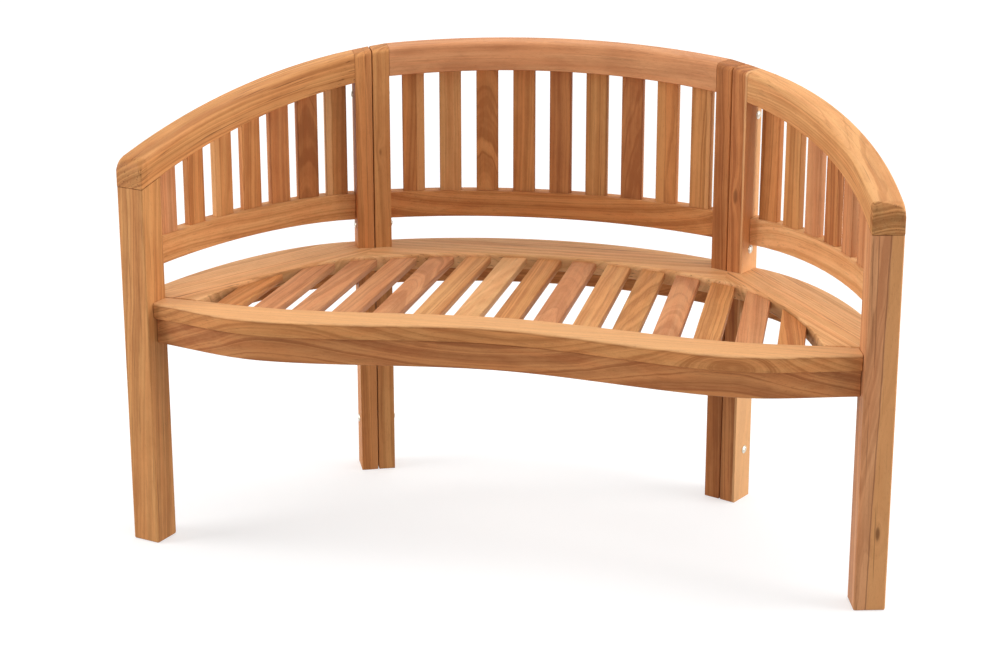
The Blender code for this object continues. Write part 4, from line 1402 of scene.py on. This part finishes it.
@dataclass(frozen=True)
class PostPair:
    """The rear post of the centre panel and the one of a side panel, bolted together.

    Args:
        side: Side of the bench.
        centre_timber: Wood of the centre panel's post.
        side_timber: Wood of the side panel's post.
        nut_end: How far the CAD bolt stands out at its nut.
        head_end: How far it stands out at its head.
        lower_setback: How far the lower bolt lies in front of the posts' middle.
        middle_bolt_setback: The same for the middle bolt.
        middle_bolt_height: Height of the middle bolt.
    """

    side: Side
    centre_timber: Timber
    side_timber: Timber
    nut_end: float = 0.0063
    head_end: float = 0.0033
    lower_setback: float = 0.004
    middle_bolt_setback: float = 0.002
    middle_bolt_height: float = 0.4790

    def axis_ends(self, node: str) -> tuple[Vector, Vector]:
        """Finds where a CAD bolt's axis meets the outer faces of the pair.

        Args:
            node: Name of the CAD bolt.

        Returns:
            The points at the nut's face and at the head's face.
        """
        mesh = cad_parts[node].data
        points = np.array([vert.co for vert in mesh.vertices])
        middle = points.mean(axis=0)
        axis = np.linalg.svd(points - middle, full_matrices=False)[2][0]
        axis = axis if axis[0] * self.side.sign > 0 else -axis
        along = (points - middle) @ axis
        start = Vector(middle + axis * (along.min() + self.nut_end))
        end = Vector(middle + axis * (along.max() - self.head_end))
        return start, end

    def build(self, shop: Workshop) -> None:
        """Dresses the posts and builds their three bolts.

        Args:
            shop: Gives the finishes.
        """
        shop.dress("centre_post_" + self.side.value, self.centre_timber)
        shop.dress("side_post_" + self.side.value, self.side_timber)
        for level in ("upper", "lower"):
            node = f"post_bolt_{level}_{self.side.value}"
            name = f"plated_bolt_{level}_{self.side.value}"
            CoachBolt(name, *self.axis_ends(node), replaces=node).build(shop)
        # The middle bolt runs parallel to the lower one.
        start, end = self.axis_ends(f"post_bolt_lower_{self.side.value}")
        direction = (end - start).normalized()
        outwards = Vector((0.0, 0.0, 1.0)).cross(direction) * self.side.sign
        shift = outwards * (self.middle_bolt_setback - self.lower_setback)
        shift += Vector((0.0, 0.0, self.middle_bolt_height - start.z))
        CoachBolt(f"plated_bolt_middle_{self.side.value}", start + shift, end + shift).build(shop)


@dataclass(frozen=True)
class FrontLeg:
    """A square front leg.

    Args:
        side: Side of the bench.
        timber: Its wood.
    """

    side: Side
    timber: Timber

    def build(self, shop: Workshop) -> None:
        """Dresses the leg."""
        shop.dress("front_leg_" + self.side.value, self.timber)


@dataclass(frozen=True)
class SeatDeck:
    """The seat: front and rear boards, the apron and the slats between the boards.

    Args:
        front_board: Wood of the front board.
        rear_board: Wood of the rear board.
        apron: Wood of the apron.
        slats: Wood of each slat, from the left.
        joint_reach: Distance from the middle of the bench to the joints inside the rear board.
    """

    front_board: Timber
    rear_board: Timber
    apron: Timber
    slats: tuple[Timber, ...]
    joint_reach: float = 0.33

    def build(self, shop: Workshop) -> None:
        """Dresses the boards, the apron and the slats.

        Args:
            shop: Gives the finishes.
        """
        shop.dress("front_seat_board", self.front_board)
        shop.dress("rear_seat_board", self.rear_board, wing_start=self.joint_reach)
        shop.dress("front_apron", self.apron)
        for number, timber in enumerate(self.slats, 1):
            shop.dress(f"seat_slat_{number:02d}", timber)


@dataclass(frozen=True)
class Lamp:
    """A square soft lamp.

    Args:
        name: Its name.
        place: Where it hangs.
        target: Where it points.
        size: Length of its side.
        power: Its power in watts.
    """

    name: str
    place: Place
    target: Place
    size: float
    power: float

    def build(self) -> None:
        """Hangs the lamp."""
        light = bpy.data.lights.new(self.name, "AREA")
        light.size = self.size
        light.energy = self.power
        lamp = bpy.data.objects.new(self.name, light)
        bpy.context.scene.collection.objects.link(lamp)
        lamp.location = self.place
        aim = Vector(self.target) - Vector(self.place)
        lamp.rotation_euler = aim.to_track_quat("-Z", "Y").to_euler()


@dataclass(frozen=True)
class Studio:
    """Plain pale floor, soft lamps, the light of white walls, and the camera.

    Args:
        lamps: The lamps.
        floor_reach: Half the length of the floor.
        floor_cells: Number of faces along a side of the floor.
        floor_drop: How far the floor lies below the feet.
        floor_grey: Brightness of the floor's colour.
        floor_roughness: Roughness of the floor.
        glow_span: Distances between which the floor's glow for the camera grows.
        near_glow: That glow near the bench.
        far_glow: That glow far away.
        wall_light: Strength of the light from the walls.
        camera_place: Place of the camera.
        camera_turn: How far it is turned to the left, in degrees.
        camera_tilt: How far it looks down, in degrees.
        camera_lens: Focal length in millimetres.
        camera_sensor: Width of its sensor in millimetres.
        camera_shift: Vertical shift, as a share of the picture's width.
    """

    lamps: tuple[Lamp, ...]
    floor_reach: float = 30.0
    floor_cells: int = 8
    floor_drop: float = 0.0003
    floor_grey: float = 0.50
    floor_roughness: float = 0.9
    glow_span: Span = (1.2, 5.0)
    near_glow: float = 0.58
    far_glow: float = 0.90
    wall_light: float = 0.31
    camera_place: Place = (0.8162, -3.7195, 1.6196)
    camera_turn: float = 13.107
    camera_tilt: float = 17.173
    camera_lens: float = 81.97
    camera_sensor: float = 36.0
    camera_shift: float = -0.05

    def build(self) -> None:
        """Sets up everything round the bench."""
        self.make_floor()
        self.make_walls()
        for lamp in self.lamps:
            lamp.build()
        self.make_camera()
        LOG.info("studio: %d lamps, camera lens %.0f mm", len(self.lamps), self.camera_lens)

    def make_floor(self) -> None:
        """Lays the floor just under the feet."""
        shape = bmesh.new()
        bmesh.ops.create_grid(
            shape,
            x_segments=self.floor_cells,
            y_segments=self.floor_cells,
            size=self.floor_reach,
            matrix=Matrix.Translation((0.0, 0.0, -self.floor_drop)),
        )
        mesh = bpy.data.meshes.new("studio_floor")
        shape.to_mesh(mesh)
        shape.free()
        floor = bpy.data.objects.new("studio_floor", mesh)
        bpy.context.scene.collection.objects.link(floor)
        made = bpy.data.materials.new("pale_floor")
        made.use_nodes = True
        graph = Graph(made.node_tree)
        shader = made.node_tree.nodes["Principled BSDF"]
        shader.inputs["Base Color"].default_value = opaque(evenly(self.floor_grey))
        shader.inputs["Roughness"].default_value = self.floor_roughness
        shader.inputs["Specular IOR Level"].default_value = 0.0
        shader.inputs["Emission Color"].default_value = (1.0, 1.0, 1.0, 1.0)
        rays = graph.add("ShaderNodeLightPath").outputs
        seen = graph.math("MAXIMUM", rays["Is Camera Ray"], rays["Is Glossy Ray"])
        away = graph.vector("LENGTH", graph.add("ShaderNodeTexCoord").outputs["Object"])
        glow = graph.ramp(away, self.glow_span, self.near_glow, self.far_glow)
        graph.feed(shader.inputs["Emission Strength"], graph.math("MULTIPLY", seen, glow))
        mesh.materials.append(made)

    def make_walls(self) -> None:
        """Lights the scene from all round, and shows the walls as white."""
        world = bpy.data.worlds.new("white_walls")
        bpy.context.scene.world = world
        world.use_nodes = True
        graph = Graph(world.node_tree)
        background = world.node_tree.nodes["Background"]
        background.inputs["Color"].default_value = (1.0, 1.0, 1.0, 1.0)
        rays = graph.add("ShaderNodeLightPath").outputs
        seen = graph.math("MAXIMUM", rays["Is Camera Ray"], rays["Is Glossy Ray"])
        seen = graph.math("MAXIMUM", seen, rays["Is Transmission Ray"])
        graph.feed(background.inputs["Strength"], graph.ramp(seen, (0.0, 1.0), self.wall_light, 1.0))

    def make_camera(self) -> None:
        """Puts the camera where the photograph was taken from."""
        data = bpy.data.cameras.new("camera")
        data.lens = self.camera_lens
        data.sensor_width = self.camera_sensor
        data.shift_y = self.camera_shift
        camera = bpy.data.objects.new("camera", data)
        bpy.context.scene.collection.objects.link(camera)
        camera.location = self.camera_place
        camera.rotation_euler = (math.radians(90 - self.camera_tilt), 0.0, math.radians(self.camera_turn))
        bpy.context.scene.camera = camera


# Past this distance to the front, every face of an arm shows its sawn end, the rounded ones too.
ARM_END = SawnEnd(axis=(0.0, -1.0, 0.0), start=0.240, facing=-1.0)


def centre_panel() -> BackPanel:
    """Chooses the wood of the centre panel.

    Returns:
        The panel.
    """
    # This panel faces the front and stands in shade, so its rails and slats take darker, more saturated
    # families: partly painted shade.
    return BackPanel(
        "centre",
        "",
        top=Timber(
            Tone.ROSE,
            Cut.RIFT,
            2.0,
            (0.0, 0.03),
            figure=0.5,
            blotch=0.65,
            knot=(-0.124, -0.024, -0.004),
            knot_reach=0.007,
            knot_push=0.005,
            knot_darkness=0.35,
        ),
        lower=Timber(Tone.BROWN, Cut.FLAT, 5.0, (0.03, 0.02)),
        seat=Timber(Tone.BROWN, Cut.RIFT, 8.0),
        slats=(
            Timber(Tone.BROWN, Cut.RIFT, 2.1, (0.02, 0.02), sap_and_painted_light_border=0.007, sap_and_painted_light_tone=Tone.HONEY),
            Timber(Tone.HONEY, Cut.QUARTER, 9.4, (0.0, 0.01), figure=0.5),
            Timber(Tone.BROWN, Cut.CROWN, 16.0, (0.0, 0.09), figure=1.3),
            Timber(Tone.BROWN, Cut.RIFT, 23.3, figure=0.7),
            Timber(Tone.RUSSET, Cut.QUARTER, 30.1, (0.0, 0.02), figure=0.8),
            Timber(Tone.OLIVE, Cut.RIFT, 37.2, (-0.01, 0.02), figure=0.8, veins=0.5),
            Timber(Tone.RUSSET, Cut.FLAT, 44.6, (0.0, 0.04), figure=1.1, blotch=0.45),
            Timber(
                Tone.BROWN,
                Cut.FLAT,
                51.5,
                (0.02, 0.02),
                sap_and_painted_light_border=0.005,
                sap_side=Layer.LEFT,
                sap_and_painted_light_tone=Tone.GOLDEN,
            ),
            Timber(Tone.OLIVE, Cut.RIFT, 58.0, figure=0.9, sap_and_painted_light_border=0.013, sap_and_painted_light_tone=Tone.HONEY),
        ),
    )


def left_panel() -> BackPanel:
    """Chooses the wood of the left side panel.

    Returns:
        The panel.
    """
    return BackPanel(
        "side",
        "_left",
        top=Timber(Tone.GOLDEN, Cut.FLAT, 11.0, (0.0, 0.03), figure=1.1, veins=0.8, end_shade=0.25),
        lower=Timber(Tone.HONEY, Cut.FLAT, 14.0, (0.02, 0.01)),
        seat=Timber(Tone.BROWN, Cut.RIFT, 17.0),
        slats=(
            Timber(Tone.GOLDEN, Cut.RIFT, 3.0, sap_and_painted_light_border=0.010, sap_side=Layer.LEFT),
            Timber(Tone.DARK, Cut.CROWN, 10.3, (0.01, 0.06), figure=1.2),
            Timber(Tone.RUSSET, Cut.QUARTER, 17.6, (0.0, 0.01), figure=0.6),
            Timber(Tone.BROWN, Cut.RIFT, 24.9, (0.02, 0.02)),
            Timber(
                Tone.GOLDEN,
                Cut.FLAT,
                32.2,
                (0.0, 0.03),
                sap_and_painted_light_border=0.011,
                sap_side=Layer.LEFT,
                sap_and_painted_light_tone=Tone.HONEY,
            ),
            Timber(Tone.BROWN, Cut.RIFT, 39.5, (0.01, 0.01)),
            Timber(Tone.ROSE, Cut.QUARTER, 46.8, (0.0, 0.02), figure=0.8),
        ),
        top_end=ARM_END,
    )


def right_panel() -> BackPanel:
    """Chooses the wood of the right side panel.

    Returns:
        The panel.
    """
    return BackPanel(
        "side",
        "_right",
        top=Timber(Tone.HONEY, Cut.FLAT, 21.0, (0.0, 0.02), veins=0.45, end_shade=0.75),
        lower=Timber(Tone.PALE, Cut.CROWN, 24.0, (0.03, 0.03), figure=1.1),
        seat=Timber(Tone.GOLDEN, Cut.RIFT, 27.0),
        slats=(
            Timber(Tone.BROWN, Cut.RIFT, 4.0),
            Timber(Tone.OLIVE, Cut.QUARTER, 11.3, (0.0, 0.01), figure=1.1),
            Timber(Tone.ROSE, Cut.FLAT, 18.6, (0.0, 0.02), figure=0.5),
            Timber(Tone.RUSSET, Cut.RIFT, 25.9, (0.02, 0.02), veins=0.7),
            Timber(Tone.ROSE, Cut.QUARTER, 33.2, (0.0, 0.02), figure=0.7),
            Timber(Tone.ROSE, Cut.RIFT, 40.5, figure=0.8),
            Timber(Tone.ROSE, Cut.QUARTER, 47.8, (0.0, 0.01), figure=0.8),
        ),
        top_end=ARM_END,
    )


def left_posts() -> PostPair:
    """Chooses the wood of the left pair of posts.

    Returns:
        The posts.
    """
    centre = Timber(
        Tone.GOLDEN,
        Cut.RIFT,
        31.0,
        figure=0.8,
        knot=(0.21, -0.026, 0.004),
        knot_reach=0.004,
        knot_push=0.006,
        knot_darkness=0.7,
        end_shade=0.35,
    )
    side = Timber(
        Tone.BROWN,
        Cut.RIFT,
        34.0,
        (0.0, 0.02),
        sap_and_painted_light_border=0.007,
        sap_side=Layer.OUTSIDE,
        sap_and_painted_light_tone=Tone.RUSSET,
        end_shade=0.35,
    )
    return PostPair(Side.LEFT, centre, side)


def right_posts() -> PostPair:
    """Chooses the wood of the right pair of posts.

    Returns:
        The posts.
    """
    centre = Timber(Tone.DARK, Cut.RIFT, 37.0, (0.01, 0.01), figure=0.8, end_shade=0.25)
    # The pale layer on the side post's outer face is partly the post's paler wood and partly painted light,
    # the light that this face catches from the front right.
    side = Timber(
        Tone.RUSSET,
        Cut.FLAT,
        40.0,
        (0.01, 0.03),
        blotch=0.50,
        knot=(0.17, -0.026, 0.004),
        knot_reach=0.006,
        knot_push=0.008,
        knot_darkness=0.6,
        sap_and_painted_light_border=0.0125,
        sap_side=Layer.OUTSIDE,
        end_shade=0.30,
    )
    return PostPair(Side.RIGHT, centre, side)


def front_legs() -> tuple[FrontLeg, FrontLeg]:
    """Chooses the wood of the front legs.

    Returns:
        The left and the right leg.
    """
    left = Timber(Tone.GOLDEN, Cut.RIFT, 43.0, (0.02, 0.02), veins=0.5)
    right = Timber(
        Tone.ROSE,
        Cut.FLAT,
        46.0,
        (0.06, 0.03),
        figure=1.3,
        veins=0.55,
        sap_and_painted_light_border=0.002,
        sap_and_painted_light_slope=-0.030,
        sap_and_painted_light_tone=Tone.GOLDEN,
        knot=(-0.195, 0.006, -0.024),
        knot_reach=0.0065,
        knot_push=0.013,
        knot_darkness=0.80,
    )
    return FrontLeg(Side.LEFT, left), FrontLeg(Side.RIGHT, right)


def seat_deck() -> SeatDeck:
    """Chooses the wood of the seat.

    Returns:
        The seat.
    """
    return SeatDeck(
        # The pale layer on the front board's top is painted light: it keeps the top lighter than the darker
        # front edge.
        front_board=Timber(
            Tone.BROWN,
            Cut.RIFT,
            51.0,
            (0.0, 0.01),
            knot=(0.40, -0.056, 0.0),
            knot_reach=0.016,
            knot_push=0.030,
            sap_and_painted_light_border=0.0125,
            sap_side=Layer.TOP,
        ),
        rear_board=Timber(Tone.PALE, Cut.QUARTER, 54.0, (0.01, 0.0), veins=0.6, end_shade=0.45),
        apron=Timber(Tone.RUSSET, Cut.RIFT, 57.0, figure=1.1),
        slats=(
            Timber(Tone.BROWN, Cut.RIFT, 5.0, figure=0.9),
            Timber(Tone.ROSE, Cut.QUARTER, 12.3, (0.0, 0.01), figure=0.7),
            Timber(Tone.ROSE, Cut.FLAT, 19.6, (0.0, 0.05), figure=0.9),
            Timber(Tone.ROSE, Cut.RIFT, 26.9, figure=0.6),
            Timber(Tone.ROSE, Cut.CROWN, 34.2, (0.0, 0.06), figure=1.1),
            Timber(Tone.HONEY, Cut.RIFT, 41.5, (0.01, 0.01)),
            Timber(Tone.PALE, Cut.FLAT, 48.8, (0.0, 0.04), figure=0.9),
            Timber(Tone.GOLDEN, Cut.QUARTER, 56.1, (0.0, 0.01), figure=0.9),
            Timber(Tone.ROSE, Cut.CROWN, 63.4, (0.0, 0.05), figure=0.8),
            Timber(Tone.HONEY, Cut.RIFT, 70.7, (0.02, 0.02), figure=0.8),
            Timber(Tone.OLIVE, Cut.FLAT, 78.0, (0.0, 0.05), figure=1.1),
            Timber(Tone.ROSE, Cut.CROWN, 85.3, (0.0, 0.06)),
            Timber(Tone.GOLDEN, Cut.RIFT, 92.6, figure=1.2),
            Timber(Tone.ROSE, Cut.QUARTER, 99.9, (0.0, 0.02), figure=0.8),
            Timber(Tone.BROWN, Cut.RIFT, 107.2),
        ),
    )


def studio() -> Studio:
    """Chooses the lamps round the bench.

    Returns:
        The studio.
    """
    seat_middle = (0.0, 0.0, 0.4)
    arm_middle = (0.0, 0.0, 0.5)
    return Studio(
        lamps=(
            Lamp("lamp_above", (0.2, 0.4, 3.2), seat_middle, size=3.0, power=70.0),
            Lamp("lamp_right", (4.4, 0.1, 1.6), arm_middle, size=2.6, power=162.0),
            Lamp("lamp_left", (-4.4, -1.5, 1.7), arm_middle, size=2.6, power=165.0),
            Lamp("lamp_front", (1.5, -4.3, 1.1), seat_middle, size=1.8, power=27.0),
        )
    )


def main() -> None:
    """Builds the looks of the bench in order."""
    logging.basicConfig(level=logging.INFO, format="%(name)s: %(message)s")
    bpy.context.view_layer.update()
    bpy.context.scene.view_settings.view_transform = "Standard"
    shop = Workshop(TeakFinish(TeakEffects()), PlatedFinish(), SurfaceShading())
    panels = (centre_panel(), left_panel(), right_panel())
    for assembly in (*panels, left_posts(), right_posts(), *front_legs(), seat_deck()):
        assembly.build(shop)
    studio().build()


if __name__ == "__main__":
    main()
